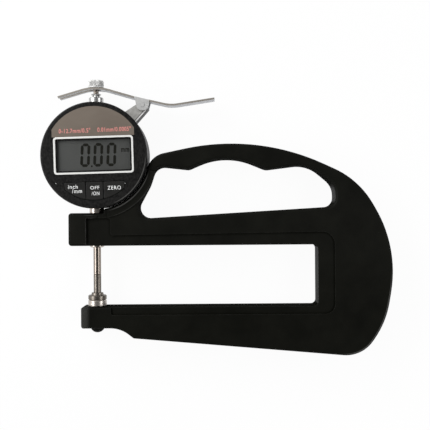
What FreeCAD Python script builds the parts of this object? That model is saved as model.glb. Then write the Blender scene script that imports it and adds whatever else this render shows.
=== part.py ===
import FreeCAD, Part
import math
import os
import types

import Sketcher

# Digital thickness gauge, lying on its back. Millimetres.
# The origin is the centre of the anvil's measuring face. +Y runs up the spindle,
# +X along the throat to its closed end, +Z out of the display.

sizeTable = {
    # cast frame
    "throat_depth": 120.0,
    "throat_height": 33.1,
    "throat_corner": 2.5,
    "frame_thickness": 16.0,
    "upper_arm_height": 17.7,
    "upper_arm_reach": 14.4,
    "arm_corner": 1.7,
    "lower_arm_height": 11.4,
    "lower_arm_reach": 8.4,
    "edge_round": 1.3,
    "grip_round": 1.7,
    "relief_depth": 0.8,
    "proud_height": 0.5,
    "band_width": 6.4,
    "clamp_pad_left": 4.9,
    "clamp_pad_right": 8.3,
    "clamp_strip": 2.7,
    "lip_width": 3.6,
    "boss_radius": 4.0,
    "boss_drop": 3.0,
    "land_height": 0.4,
    "slit_width": 1.2,
    "nose_round": 4.5,
    # outline of the cast frame
    "ramp_start": 13.3,
    "ramp_end": 20.3,
    "ramp_drop": 5.5,
    "ramp_bend": 16.0,
    "heel_reach": 23.5,
    "heel_drop": 16.2,
    "heel_round": 17.7,
    "back_low_reach": 36.4,
    "back_low_drop": 9.0,
    "back_low_bend": 48.0,
    "back_reach": 43.5,
    "back_drop": 2.0,
    "back_bend": 68.0,
    "shoulder_reach": 22.2,
    "shoulder_rise": 17.1,
    "shoulder_bend": 46.0,
    "handle_front": 2.85,
    "handle_crown_rise": 11.4,
    "handle_crown_share": 0.5,
    "handle_arch_share": 1.083,
    "handle_front_bend": 12.0,
    "cradle_root_run": 1.5,
    "cradle_root_bend": 4.0,
    # outline of the handle's window
    "window_foot": 9.8,
    "window_foot_drop": 3.5,
    "window_foot_bend": 5.6,
    "window_end": 9.6,
    "window_end_rise": 2.7,
    "window_end_bend": 5.0,
    "window_back_rise": 13.8,
    "window_back_bend": 10.5,
    "window_shoulder_share": 0.859,
    "window_shoulder_drop": 5.3,
    "window_shoulder_bend": 18.0,
    "grip_rear_share": 0.631,
    "grip_rear_drop": 8.1,
    "grip_rear_bend": 6.0,
    "grip_middle_share": 0.412,
    "grip_middle_rise": 0.9,
    "grip_arch_share": 0.363,
    "grip_front_share": 0.212,
    "grip_front_drop": 7.7,
    "grip_front_bend": 4.5,
    "window_front": 3.5,
    "window_front_drop": 5.7,
    "window_front_bend": 6.0,
    "window_side": 0.1,
    "window_side_drop": 16.3,
    "window_side_bend": 20.0,
    # anvil, contact and spindle
    "anvil_radius": 5.0,
    "anvil_height": 3.1,
    "anvil_shank_radius": 2.5,
    "anvil_shank_length": 10.4,
    "contact_height": 2.6,
    "contact_collar_radius": 3.4,
    "contact_collar_height": 1.3,
    "contact_shank_length": 10.0,
    "stud_radius": 1.2,
    "stud_length": 4.0,
    "spindle_radius": 2.05,
    "rod_radius": 1.4,
    "stem_radius": 4.0,
    "stem_overhang": 1.0,
    "stem_entry": 1.9,
    "travel": 12.7,
    # fits
    "fit_gap": 0.02,
    "running_gap": 0.05,
    "seat_gap": 0.2,
    # indicator housing
    "case_radius": 28.6,
    "case_wall": 2.0,
    "cradle_gap": 0.6,
    "cradle_step": 0.6,
    "step_round": 1.45,
    "step_foot_round": 0.7,
    "stem_gap": 2.4,
    "case_depth": 12.6,
    "bezel_depth": 6.4,
    "face_wall": 1.8,
    "bezel_round": 1.0,
    "spigot_depth": 1.4,
    "spigot_wall": 1.2,
    "cover_thickness": 1.6,
    "cover_rebate": 1.3,
    "cover_screw_inset": 5.2,
    "cover_screw_radius": 1.0,
    "cover_head_radius": 1.9,
    "face_turn": 1.4,
    # display
    "display_inset": 7.3,
    "border_height": 20.0,
    "border_line": 0.95,
    "border_corner": 1.6,
    "plate_inset": 2.5,
    "plate_side": 0.7,
    "plate_thickness": 0.4,
    "window_ledge": 0.9,
    "window_thickness": 0.8,
    "panel_thickness": 1.9,
    # buttons
    "key_drop": 4.4,
    "key_inset": 4.6,
    "key_middle": 4.5,
    "key_side_inset": 8.0,
    "key_gap": 0.25,
    "key_flange": 0.7,
    "key_travel": 0.5,
    # circuit
    "connector_inset": 2.3,
    "connector_width": 1.8,
    "board_thickness": 1.0,
    "board_drop": 6.4,
    "strip_thickness": 0.8,
    "strip_half_width": 4.5,
    "strip_low_inset": 10.6,
    "strip_high_inset": 12.6,
    "dome_radius": 2.6,
    "dome_height": 0.6,
    # battery
    "battery_radius": 5.8,
    "battery_thickness": 5.4,
    "battery_across": 11.5,
    "battery_down": 5.5,
    "battery_cap_radius": 7.4,
    # spindle guide inside the case
    "carrier_height": 8.0,
    "carrier_below_centre": 8.0,
    "guide_radius": 1.2,
    "guide_offset": 8.5,
    "coil_radius": 1.9,
    # top of the spindle
    "collar_radius": 4.0,
    "collar_height": 3.4,
    "lip_radius": 2.85,
    "lip_height": 1.9,
    "neck_height": 3.4,
    "cap_radius": 4.2,
    "cap_height": 4.1,
    "cap_flange": 0.5,
    # lever and bracket
    "lever_thickness": 1.0,
    "lever_depth": 9.0,
    "fork_half": 4.3,
    "fork_drop": 4.7,
    "lever_reach": 20.3,
    "lever_knee": 4.5,
    "lever_knee_rise": 4.6,
    "lever_dip": 15.4,
    "lever_tail": 39.1,
    "lever_tail_rise": 3.6,
    "fork_slot": 3.6,
    "pivot_radius": 37.6,
    "pivot_angle": 47.2,
    "pin_radius": 1.2,
    "ear_radius": 3.0,
    "ear_half_width": 4.1,
    "bracket_depth": 6.4,
    "bracket_sheet": 1.0,
    "bracket_foot": 1.3,
    "bracket_screw_left": 2.5,
    "bracket_screw_right": 0.7,
    "bracket_screw_radius": 0.9,
    "bracket_screw_length": 4.3,
    "bracket_head_radius": 1.4,
    "bracket_head_height": 1.0,
    # clamp and anvil screws
    "clamp_screw_offset": 9.4,
    "clamp_screw_radius": 2.0,
    "clamp_head_radius": 3.5,
    "clamp_head_height": 4.0,
    "set_screw_radius": 1.5,
}

doc = FreeCAD.newDocument("ThicknessGauge")
sheet = doc.addObject("Spreadsheet::Sheet", "Sizes")


class Dim:
    """A length that carries its number and the sheet expression it comes from."""

    def __init__(self, number, text):
        self.number = number
        self.text = text

    def __float__(self):
        return float(self.number)

    def __neg__(self):
        return Dim(-self.number, f"(0 - {self.text})")

    def __add__(self, other):
        other = asDim(other)
        return Dim(self.number + other.number, f"({self.text} + {other.text})")

    def __sub__(self, other):
        other = asDim(other)
        return Dim(self.number - other.number, f"({self.text} - {other.text})")

    def __mul__(self, other):
        other = asDim(other)
        return Dim(self.number * other.number, f"({self.text} * {other.text})")

    def __truediv__(self, other):
        other = asDim(other)
        return Dim(self.number / other.number, f"({self.text} / {other.text})")

    def __radd__(self, other):
        return asDim(other) + self

    def __rsub__(self, other):
        return asDim(other) - self


def asDim(value):
    if isinstance(value, Dim):
        return value
    return Dim(value, f"({value:.6f})")


def sine(angle):
    return Dim(math.sin(math.radians(angle.number)), f"sin({angle.text} * 1 deg)")


def cosine(angle):
    return Dim(math.cos(math.radians(angle.number)), f"cos({angle.text} * 1 deg)")


def fillSheet():
    named = {}
    for row, (alias, number) in enumerate(sizeTable.items(), 1):
        sheet.set(f"A{row}", alias)
        sheet.set(f"B{row}", str(number))
        sheet.setAlias(f"B{row}", alias)
        named[alias] = Dim(number, f"Sizes.{alias}")
    doc.recompute()
    return types.SimpleNamespace(**named)


size = fillSheet()


# Sketch and feature helpers

def newBody(label, place=None):
    made = doc.addObject("PartDesign::Body", label)
    made.Label = label
    if place:
        for axis, distance in zip("xyz", place):
            made.setExpression(f"Placement.Base.{axis}", asDim(distance).text)
    return made


def turnBody(body, angle):
    """Turn a body about its own Z axis."""
    body.Placement = FreeCAD.Placement(FreeCAD.Vector(), FreeCAD.Rotation(FreeCAD.Vector(0, 0, 1), 1))
    body.setExpression("Placement.Rotation.Angle", asDim(angle).text)


def originPart(body, role):
    for feature in body.Origin.OriginFeatures:
        if feature.Role == role:
            return feature
    raise ValueError(role)


def radialSketch(body, radius, angle):
    """Sketch square to a radius in the XY plane, which an angle turns from +Y about Z."""
    made = body.newObject("Sketcher::SketchObject", f"{body.Label}_sketch")
    made.AttachmentSupport = [(originPart(body, "XZ_Plane"), "")]
    made.MapMode = "FlatFace"
    made.AttachmentOffset = FreeCAD.Placement(FreeCAD.Vector(), FreeCAD.Rotation(FreeCAD.Vector(0, 1, 0), 1))
    made.setExpression("AttachmentOffset.Rotation.Angle", angle.text)
    made.setExpression("AttachmentOffset.Base.x", (-radius * sine(angle)).text)
    made.setExpression("AttachmentOffset.Base.z", (-radius * cosine(angle)).text)
    return made


def newSketch(body, plane="XY_Plane", height=0.0):
    made = body.newObject("Sketcher::SketchObject", f"{body.Label}_sketch")
    made.AttachmentSupport = [(originPart(body, plane), "")]
    made.MapMode = "FlatFace"
    made.setExpression("AttachmentOffset.Base.z", asDim(height).text)
    return made


def holdPoint(sketch, geometry, point, x, y):
    """Tie a point of the sketch to its distances from the sketch's origin."""
    for kind, axis, distance in (("DistanceX", -2, x), ("DistanceY", -1, y)):
        if isinstance(distance, Dim) or distance:
            distance = asDim(distance)
            rule = Sketcher.Constraint(kind, -1, 1, geometry, point, distance.number)
            sketch.setExpression(f"Constraints[{sketch.addConstraint(rule)}]", distance.text)
        else:
            sketch.addConstraint(Sketcher.Constraint("PointOnObject", geometry, point, axis))


def holdRadius(sketch, geometry, radius):
    rule = Sketcher.Constraint("Radius", geometry, float(radius))
    sketch.setExpression(f"Constraints[{sketch.addConstraint(rule)}]", asDim(radius).text)


def drawCircle(sketch, x, y, radius):
    centre = FreeCAD.Vector(float(x), float(y), 0)
    ring = sketch.addGeometry(Part.Circle(centre, FreeCAD.Vector(0, 0, 1), float(radius)), False)
    holdPoint(sketch, ring, 3, x, y)
    holdRadius(sketch, ring, radius)


def drawOutline(sketch, corners):
    """Closed outline of straight runs; a corner is (x, y) or (x, y, round radius)."""
    corners = [(corner + (0.0,))[:3] for corner in corners]
    points = [FreeCAD.Vector(float(x), float(y), 0) for x, y, _ in corners]
    count = len(corners)
    starts, ends = [], []
    for i, point in enumerate(points):
        before = (points[i - 1] - point).normalize()
        after = (points[(i + 1) % count] - point).normalize()
        half = before.getAngle(after) / 2
        reach = float(corners[i][2]) / math.tan(half)
        ends.append(point + before * reach)
        starts.append(point + after * reach)
    lines = [sketch.addGeometry(Part.LineSegment(starts[i], ends[(i + 1) % count]), False)
             for i in range(count)]
    for i, (x, y, radius) in enumerate(corners):
        arriving, leaving = lines[i - 1], lines[i]
        if not float(radius):
            sketch.addConstraint(Sketcher.Constraint("Coincident", arriving, 2, leaving, 1))
            holdPoint(sketch, leaving, 1, x, y)
            continue
        toCorner = (points[i] - (ends[i] + starts[i]) / 2).normalize()
        half = (points[i] - ends[i]).getAngle(toCorner)
        centre = points[i] - toCorner * (float(radius) / math.sin(half))
        middle = centre + toCorner * float(radius)
        bend = sketch.addGeometry(Part.Arc(ends[i], middle, starts[i]), False)
        turnsLeft = (ends[i] - centre).cross(starts[i] - centre).z > 0
        first, last = (1, 2) if turnsLeft else (2, 1)
        sketch.addConstraint(Sketcher.Constraint("Tangent", arriving, 2, bend, first))
        sketch.addConstraint(Sketcher.Constraint("Tangent", bend, last, leaving, 1))
        holdRadius(sketch, bend, radius)
        vertex = sketch.addGeometry(Part.Point(points[i]), True)
        sketch.addConstraint(Sketcher.Constraint("PointOnObject", vertex, 1, arriving))
        sketch.addConstraint(Sketcher.Constraint("PointOnObject", vertex, 1, leaving))
        holdPoint(sketch, vertex, 1, x, y)


def drawBox(sketch, left, bottom, right, top, radius=0.0):
    drawOutline(sketch, [(left, bottom, radius), (right, bottom, radius),
                         (right, top, radius), (left, top, radius)])


def addFeature(body, kind, sketch, length, both=False, flip=False):
    made = body.newObject(f"PartDesign::{kind}", f"{body.Label}_{kind.lower()}")
    made.Profile = sketch
    made.setExpression("Length", asDim(length).text)
    if both:
        made.SideType = "Symmetric"
    made.Reversed = flip
    sketch.Visibility = False
    return made


def pad(body, sketch, length, both=False, flip=False):
    return addFeature(body, "Pad", sketch, length, both, flip)


def cut(body, sketch, length, both=False, flip=False):
    """A pocket that has to take something away."""
    doc.recompute()
    whole = body.Tip.Shape.Volume
    made = addFeature(body, "Pocket", sketch, length, both, flip)
    doc.recompute()
    if made.Shape.Volume > whole - 1e-3:
        raise ValueError(f"{made.Label} cuts nothing")
    return made


def turned(body, profile):
    """Add a solid of revolution about the Y axis from a closed half profile (radius, height)."""
    sketch = newSketch(body)
    drawOutline(sketch, profile)
    made = body.newObject("PartDesign::Revolution", f"{body.Label}_turned")
    made.Profile = sketch
    made.ReferenceAxis = (sketch, ["V_Axis"])
    made.Angle = 360
    sketch.Visibility = False
    return made


def drawArcBand(sketch, y, inner, outer, start, end):
    """Part of a ring about (0, y) between two angles in degrees."""
    def at(radius, angle):
        turn = math.radians(angle)
        return FreeCAD.Vector(float(radius) * math.cos(turn), float(y) + float(radius) * math.sin(turn), 0)

    middle = (start + end) / 2
    outside = sketch.addGeometry(Part.Arc(at(outer, start), at(outer, middle), at(outer, end)), False)
    last = sketch.addGeometry(Part.LineSegment(at(outer, end), at(inner, end)), False)
    inside = sketch.addGeometry(Part.Arc(at(inner, start), at(inner, middle), at(inner, end)), False)
    first = sketch.addGeometry(Part.LineSegment(at(inner, start), at(outer, start)), False)
    for one, point, other, end in ((outside, 2, last, 1), (last, 2, inside, 2), (inside, 1, first, 1),
                                   (first, 2, outside, 1)):
        sketch.addConstraint(Sketcher.Constraint("Coincident", one, point, other, end))
    for arc, radius in ((outside, outer), (inside, inner)):
        holdPoint(sketch, arc, 3, 0.0, y)
        holdRadius(sketch, arc, radius)


def roundEdges(body, radius, pick, kind="Fillet"):
    """Round or chamfer the edges that pick finds on the body's last feature."""
    doc.recompute()
    base = body.Tip
    chosen = pick(base.Shape)
    names = [f"Edge{i}" for i, edge in enumerate(base.Shape.Edges, 1)
             if any(edge.isSame(other) for other in chosen)]
    made = body.newObject(f"PartDesign::{kind}", f"{body.Label}_{kind.lower()}")
    made.Base = (base, names)
    made.setExpression("Radius" if kind == "Fillet" else "Size", asDim(radius).text)
    doc.recompute()
    return made


def rim(height, inner=False):
    """Outer edges, or the edges of the openings, of the largest flat face at a height."""
    def pick(shape):
        level = [face for face in shape.Faces
                 if abs(face.BoundBox.ZMin - float(height)) < 1e-3
                 and abs(face.BoundBox.ZMax - float(height)) < 1e-3]
        face = max(level, key=lambda flat: flat.Area)
        wires = [wire for wire in face.Wires if wire.isSame(face.OuterWire) != inner]
        return [edge for wire in wires for edge in wire.Edges]
    return pick


# Places that several pieces share

armTop = size.throat_height - size.anvil_height - size.land_height + size.upper_arm_height
armBottom = armTop - size.upper_arm_height
floorY = -size.anvil_height - size.land_height
lowerArmBottom = floorY - size.lower_arm_height
cradleRadius = size.case_radius + size.cradle_gap
caseY = armTop + size.stem_gap + size.case_radius
cradleTurn = 76.0
cradleStart = 12.0
half = size.frame_thickness / 2
backPlane = -half
caseFront = backPlane + size.case_depth
faceZ = caseFront + size.bezel_depth
caseInner = size.case_radius - size.case_wall
coverRing = size.case_radius - size.cover_screw_inset
caseBottom = caseY - size.case_radius
caseTop = caseY + size.case_radius
collarTop = caseTop + size.collar_height
lipTop = collarTop + size.lip_height
capBottom = lipTop + size.neck_height
capTop = capBottom + size.cap_height
forkTop = capBottom - size.seat_gap
contactTop = size.contact_height + size.contact_collar_height + size.contact_shank_length
pivotX = size.pivot_radius * cosine(size.pivot_angle)
pivotY = caseY + size.pivot_radius * sine(size.pivot_angle)
kneeX = pivotX - size.lever_knee
kneeY = pivotY + size.lever_knee_rise
bracketTurn = size.pivot_angle - 90
footTop = size.case_radius + size.bracket_foot
bracketScrews = (-size.bracket_screw_left, size.bracket_screw_right)
boardBack = faceZ - size.board_drop - size.board_thickness
boardFront = boardBack + size.board_thickness
faceInside = faceZ - size.face_wall
borderWidth = (size.case_radius - size.display_inset) * 2
plateRadius = size.case_radius - size.plate_inset
plateHalfWidth = borderWidth / 2 + size.plate_side
keyArc = size.case_radius - size.key_inset
keyTop = size.border_height / 2 + size.key_drop
keySide = keyArc - size.key_side_inset


def makeFrame():
    body = newBody("frame")
    throatEnd = size.throat_depth
    # the cradle is an arc about the case's centre, given by the corner of its two tangents
    halfTurn = math.radians((cradleTurn - cradleStart) / 2)
    middle = math.radians((cradleTurn + cradleStart) / 2)
    cradleX = cradleRadius * (math.sin(middle) / math.cos(halfTurn))
    cradleY = caseY - cradleRadius * (math.cos(middle) / math.cos(halfTurn))
    rootRun = cradleRadius * math.tan(halfTurn) + size.cradle_root_run
    rootX = cradleX + rootRun * math.cos(math.radians(cradleTurn))
    rootY = cradleY + rootRun * math.sin(math.radians(cradleTurn))
    stepX = size.stem_radius + size.cradle_step
    stepY = cradleY - (cradleX - stepX) * math.tan(math.radians(cradleStart))
    handleFront = cradleRadius + size.handle_front
    handleSpan = throatEnd + size.shoulder_reach - handleFront
    windowFront = cradleRadius + size.window_side
    windowSpan = throatEnd + size.window_end - windowFront
    outline = newSketch(body)
    drawOutline(outline, [
        (-size.upper_arm_reach, armBottom, size.arm_corner),
        (throatEnd, armBottom, size.throat_corner),
        (throatEnd, floorY, size.throat_corner),
        (-size.lower_arm_reach, floorY, size.arm_corner),
        (-size.lower_arm_reach, lowerArmBottom, size.arm_corner),
        (size.ramp_start, lowerArmBottom, size.ramp_bend),
        (size.ramp_end, lowerArmBottom - size.ramp_drop, size.arm_corner),
        (throatEnd + size.heel_reach, lowerArmBottom - size.heel_drop, size.heel_round),
        (throatEnd + size.back_low_reach, floorY - size.back_low_drop, size.back_low_bend),
        (throatEnd + size.back_reach, armBottom - size.back_drop, size.back_bend),
        (throatEnd + size.shoulder_reach, armTop + size.shoulder_rise, size.shoulder_bend),
        (handleFront + handleSpan * size.handle_crown_share, caseY + size.handle_crown_rise,
         handleSpan * size.handle_arch_share),
        (handleFront, caseY, size.handle_front_bend),
        (rootX, rootY, size.cradle_root_bend),
        (cradleX, cradleY, cradleRadius),
        (stepX, stepY, size.step_round),
        (stepX, armTop, size.step_foot_round),
        (-size.upper_arm_reach, armTop, size.arm_corner),
    ])
    pad(body, outline, size.frame_thickness, both=True)
    window = newSketch(body)
    drawOutline(window, [
        (cradleRadius - size.window_foot, armTop - size.window_foot_drop, size.window_foot_bend),
        (throatEnd + size.window_end, armTop + size.window_end_rise, size.window_end_bend),
        (throatEnd + size.window_end, armTop + size.window_back_rise, size.window_back_bend),
        (windowFront + windowSpan * size.window_shoulder_share, caseY - size.window_shoulder_drop,
         size.window_shoulder_bend),
        (windowFront + windowSpan * size.grip_rear_share, caseY - size.grip_rear_drop, size.grip_rear_bend),
        (windowFront + windowSpan * size.grip_middle_share, caseY + size.grip_middle_rise,
         windowSpan * size.grip_arch_share),
        (windowFront + windowSpan * size.grip_front_share, caseY - size.grip_front_drop,
         size.grip_front_bend),
        (windowFront + size.window_front, caseY - size.window_front_drop, size.window_front_bend),
        (windowFront, caseY - size.window_side_drop, size.window_side_bend),
    ])
    cut(body, window, size.frame_thickness + 2, both=True)

    for level in (half, -half):
        roundEdges(body, size.grip_round, rim(level, inner=True))
        roundEdges(body, size.edge_round, rim(level))

    # clamp pad and the band round the throat are cast a little lower on both faces
    bandTop = armBottom + size.band_width
    bandBottom = floorY - size.band_width * 0.66
    for level, flip in ((half, False), (-half, True)):
        relief = newSketch(body, height=level)
        drawOutline(relief, [
            (-size.clamp_pad_left, armBottom - 6),
            (-size.clamp_pad_left, armTop - size.clamp_strip, 0.8),
            (size.clamp_pad_right, armTop - size.clamp_strip, 1.8),
            (size.clamp_pad_right, bandTop - 0.7, 1.2),
            (throatEnd + 9.0, bandTop + 0.6, 7.0),
            (throatEnd + 9.0, bandBottom, 5.4),
            (size.clamp_pad_right, bandBottom, 1.0),
            (size.clamp_pad_right, armBottom - 6),
        ])
        cut(body, relief, size.relief_depth, flip=flip)

    # the clamp's end block, the strip over the pad and the cradle's lip stand a little proud
    lipInner = cradleRadius + size.edge_round
    level = half - 1
    block = newSketch(body, height=level)
    drawBox(block, -size.upper_arm_reach + size.edge_round, armBottom + size.edge_round,
            -size.clamp_pad_left, armTop - size.edge_round, asDim(0.6))
    pad(body, block, size.proud_height + 1)
    strip = newSketch(body, height=level)
    drawBox(strip, -size.clamp_pad_left - 1, armTop - size.clamp_strip, asDim(1.0), armTop - size.edge_round)
    pad(body, strip, size.proud_height + 1)
    lip = newSketch(body, height=level)
    drawArcBand(lip, caseY, lipInner, lipInner + size.lip_width, cradleStart - 90, cradleTurn - 92)
    pad(body, lip, size.proud_height + 1)

    # the lower arm's nose is rounded off towards both faces
    for side in (1, -1):
        nose = newSketch(body, "XZ_Plane", -floorY - 1)
        drawOutline(nose, [
            (-size.lower_arm_reach - 2, half * side),
            (-size.lower_arm_reach - 2, (half - size.nose_round) * side),
            (-size.lower_arm_reach, (half - size.nose_round) * side),
            (-size.lower_arm_reach, half * side, size.nose_round * 0.9),
            (size.nose_round - size.lower_arm_reach, half * side),
            (size.nose_round - size.lower_arm_reach, (half + 1) * side),
            (-size.lower_arm_reach - 2, (half + 1) * side),
        ])
        cut(body, nose, size.lower_arm_height + 2, flip=True)

    # anvil boss: a land under the anvil and a domed foot below the arm
    turned(body, [
        (0.0, -size.anvil_height),
        (size.anvil_radius + 0.6, -size.anvil_height),
        (size.anvil_radius + 0.6, floorY - 2),
        (size.boss_radius, floorY - 2),
        (size.boss_radius, lowerArmBottom - size.boss_drop, size.boss_radius - 0.1),
        (0.0, lowerArmBottom - size.boss_drop),
    ])

    shank = newSketch(body, "XZ_Plane", size.anvil_height)
    drawCircle(shank, 0.0, 0.0, size.anvil_shank_radius + size.fit_gap)
    cut(body, shank, size.anvil_shank_length + size.seat_gap, flip=True)

    stem = newSketch(body, "XZ_Plane", -armBottom + 2)
    drawCircle(stem, 0.0, 0.0, size.stem_radius + size.fit_gap)
    cut(body, stem, size.upper_arm_height + 4)

    slit = newSketch(body, "XZ_Plane", -armBottom + 2)
    drawBox(slit, -size.upper_arm_reach - 2, -size.slit_width / 2,
            -size.stem_radius + 0.5, size.slit_width / 2)
    cut(body, slit, size.upper_arm_height + 4)

    screwY = armBottom + size.upper_arm_height / 2
    clampHead = newSketch(body, height=backPlane)
    drawCircle(clampHead, -size.clamp_screw_offset, screwY, size.clamp_head_radius + size.seat_gap)
    cut(body, clampHead, size.clamp_head_height + size.seat_gap, flip=True)
    clampHole = newSketch(body, height=backPlane)
    drawCircle(clampHole, -size.clamp_screw_offset, screwY, size.clamp_screw_radius + size.fit_gap)
    cut(body, clampHole, size.frame_thickness - 3, flip=True)

    setHole = newSketch(body, height=backPlane)
    drawCircle(setHole, 0.0, floorY - 5.5, size.set_screw_radius + size.fit_gap)
    cut(body, setHole, half - size.anvil_shank_radius, flip=True)
    return body


def makeAnvil():
    body = newBody("anvil")
    edge = 0.4
    turned(body, [
        (0.0, 0.0),
        (size.anvil_radius - edge, 0.0),
        (size.anvil_radius, Dim(-edge, f"(0 - {edge})")),
        (size.anvil_radius, -size.anvil_height),
        (size.anvil_shank_radius, -size.anvil_height),
        (size.anvil_shank_radius, -size.anvil_height - size.anvil_shank_length),
        (0.0, -size.anvil_height - size.anvil_shank_length),
    ])
    return body


def makeContact():
    body = newBody("contact_point")
    edge = 0.4
    shoulder = size.contact_height + size.contact_collar_height
    turned(body, [
        (0.0, 0.0),
        (size.anvil_radius - edge, 0.0),
        (size.anvil_radius, asDim(edge)),
        (size.anvil_radius, size.contact_height - edge),
        (size.anvil_radius - edge, size.contact_height),
        (size.contact_collar_radius, size.contact_height),
        (size.contact_collar_radius - 0.3, shoulder),
        (size.spindle_radius, shoulder),
        (size.spindle_radius, contactTop - 0.2),
        (size.spindle_radius - 0.2, contactTop),
        (size.stud_radius, contactTop),
        (size.stud_radius, contactTop + size.stud_length),
        (0.0, contactTop + size.stud_length),
    ])
    return body


def makeSpindle():
    body = newBody("spindle")
    shoulder = collarTop - size.travel - 9
    rodTop = capTop - 1
    turned(body, [
        (0.0, contactTop + size.stud_length + size.seat_gap),
        (size.stud_radius + size.fit_gap, contactTop + size.stud_length + size.seat_gap),
        (size.stud_radius + size.fit_gap, contactTop),
        (size.spindle_radius - 0.2, contactTop),
        (size.spindle_radius, contactTop + 0.2),
        (size.spindle_radius, shoulder),
        (size.rod_radius, shoulder + 0.5),
        (size.rod_radius, rodTop),
        (0.0, rodTop),
    ])
    return body


def makeStem():
    body = newBody("stem")
    bottom = armBottom - size.stem_overhang
    top = caseBottom + size.stem_entry
    bore = size.spindle_radius + size.running_gap
    turned(body, [
        (bore, bottom),
        (size.stem_radius - 0.6, bottom),
        (size.stem_radius, bottom + 0.6),
        (size.stem_radius, top),
        (bore, top),
    ])
    return body


def makeUpperBushing():
    body = newBody("upper_bushing")
    bore = size.rod_radius + size.running_gap
    seat = caseTop - 0.6
    inside = caseTop - size.case_wall - 1.4
    turned(body, [
        (bore, inside),
        (size.collar_radius - 1, inside),
        (size.collar_radius - 1, seat),
        (size.collar_radius, seat),
        (size.collar_radius, collarTop - 0.4),
        (size.collar_radius - 0.4, collarTop),
        (size.lip_radius - 1.0, collarTop),
        (size.lip_radius - 1.0, collarTop + 0.5),
        (size.lip_radius, lipTop),
        (size.lip_radius - 0.5, lipTop),
        (bore, lipTop - 0.9),
    ])
    return body


def makeLiftingCap():
    body = newBody("lifting_cap")
    bore = size.rod_radius + size.fit_gap
    turned(body, [
        (bore, capBottom),
        (size.cap_radius + 0.2, capBottom),
        (size.cap_radius + 0.2, capBottom + size.cap_flange),
        (size.cap_radius - 0.4, capBottom + size.cap_flange + 0.2),
        (size.cap_radius, capBottom + size.cap_flange + 0.6),
        (size.cap_radius, capTop - 0.5),
        (size.cap_radius - 0.5, capTop),
        (0.0, capTop),
        (0.0, capTop - 1 + size.seat_gap),
        (bore, capTop - 1 + size.seat_gap),
    ])
    return body


def screwSpots(ring):
    """The four cover screws stand on a ring at 45 degrees."""
    reach = ring * math.cos(math.pi / 4)
    return [(reach, reach), (-reach, reach), (-reach, -reach), (reach, -reach)]


def makeCase():
    body = newBody("case", (0.0, caseY, 0.0))
    coverFront = backPlane + size.cover_thickness
    shell = newSketch(body, height=backPlane)
    drawCircle(shell, 0.0, 0.0, size.case_radius)
    pad(body, shell, size.case_depth)
    roundEdges(body, 0.6, rim(backPlane), "Chamfer")
    rebate = newSketch(body, height=backPlane)
    drawCircle(rebate, 0.0, 0.0, size.case_radius - size.cover_rebate)
    cut(body, rebate, size.cover_thickness, flip=True)
    hollow = newSketch(body, height=coverFront)
    drawCircle(hollow, 0.0, 0.0, caseInner)
    cut(body, hollow, size.case_depth, flip=True)

    posts = newSketch(body, height=coverFront)
    for x, y in screwSpots(coverRing):
        drawCircle(posts, x, y, size.cover_screw_radius + 1.6)
    pad(body, posts, size.case_depth - size.cover_thickness - 3)
    webs = newSketch(body, height=coverFront)
    for x, y in screwSpots(coverRing + 2.4):
        drawCircle(webs, x, y, asDim(1.6))
    pad(body, webs, size.case_depth - size.cover_thickness - 3)
    holes = newSketch(body, height=coverFront)
    for x, y in screwSpots(coverRing):
        drawCircle(holes, x, y, size.cover_screw_radius + size.fit_gap)
    cut(body, holes, asDim(6.2), flip=True)

    stemHole = newSketch(body, "XZ_Plane")
    drawCircle(stemHole, 0.0, 0.0, size.stem_radius + size.fit_gap)
    cut(body, stemHole, size.case_radius + 1, flip=True)
    topHole = newSketch(body, "XZ_Plane")
    drawCircle(topHole, 0.0, 0.0, size.collar_radius - 1 + size.fit_gap)
    cut(body, topHole, size.case_radius + 1)
    topSeat = newSketch(body, "XZ_Plane", -(size.case_radius - 0.6))
    drawCircle(topSeat, 0.0, 0.0, size.collar_radius + size.fit_gap)
    cut(body, topSeat, asDim(2.0))
    guideHoles = newSketch(body, "XZ_Plane")
    drawCircle(guideHoles, -size.guide_offset, 0.0, size.guide_radius + size.fit_gap)
    cut(body, guideHoles, (size.case_radius - 2.2) * 2, both=True)

    screwEnd = footTop - size.bracket_screw_length - size.seat_gap
    bracketHoles = radialSketch(body, screwEnd, bracketTurn)
    for x in bracketScrews:
        drawCircle(bracketHoles, x, 0.0, size.bracket_screw_radius + size.fit_gap)
    cut(body, bracketHoles, size.bracket_screw_length)
    return body


def makeBackCover():
    body = newBody("back_cover", (0.0, caseY, 0.0))
    disc = newSketch(body, height=backPlane)
    drawCircle(disc, 0.0, 0.0, size.case_radius - size.cover_rebate - size.fit_gap)
    for x, y in screwSpots(coverRing):
        drawCircle(disc, x, y, size.cover_screw_radius + 0.2)
    drawCircle(disc, size.battery_across, -size.battery_down, size.battery_cap_radius - 1)
    pad(body, disc, size.cover_thickness)
    recesses = newSketch(body, height=backPlane)
    for x, y in screwSpots(coverRing):
        drawCircle(recesses, x, y, size.cover_head_radius + size.fit_gap)
    drawCircle(recesses, size.battery_across, -size.battery_down,
               size.battery_cap_radius + size.running_gap)
    cut(body, recesses, size.cover_thickness / 2, flip=True)
    return body


def makeCoverScrews():
    body = newBody("back_cover_screws", (0.0, caseY, 0.0))
    heads = newSketch(body, height=backPlane + 0.1)
    shanks = newSketch(body, height=backPlane + 0.1)
    for x, y in screwSpots(coverRing):
        drawCircle(heads, x, y, size.cover_head_radius)
        drawCircle(shanks, x, y, size.cover_screw_radius)
    pad(body, heads, size.cover_thickness / 2 - 0.1)
    pad(body, shanks, asDim(7.0))
    return body


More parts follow.
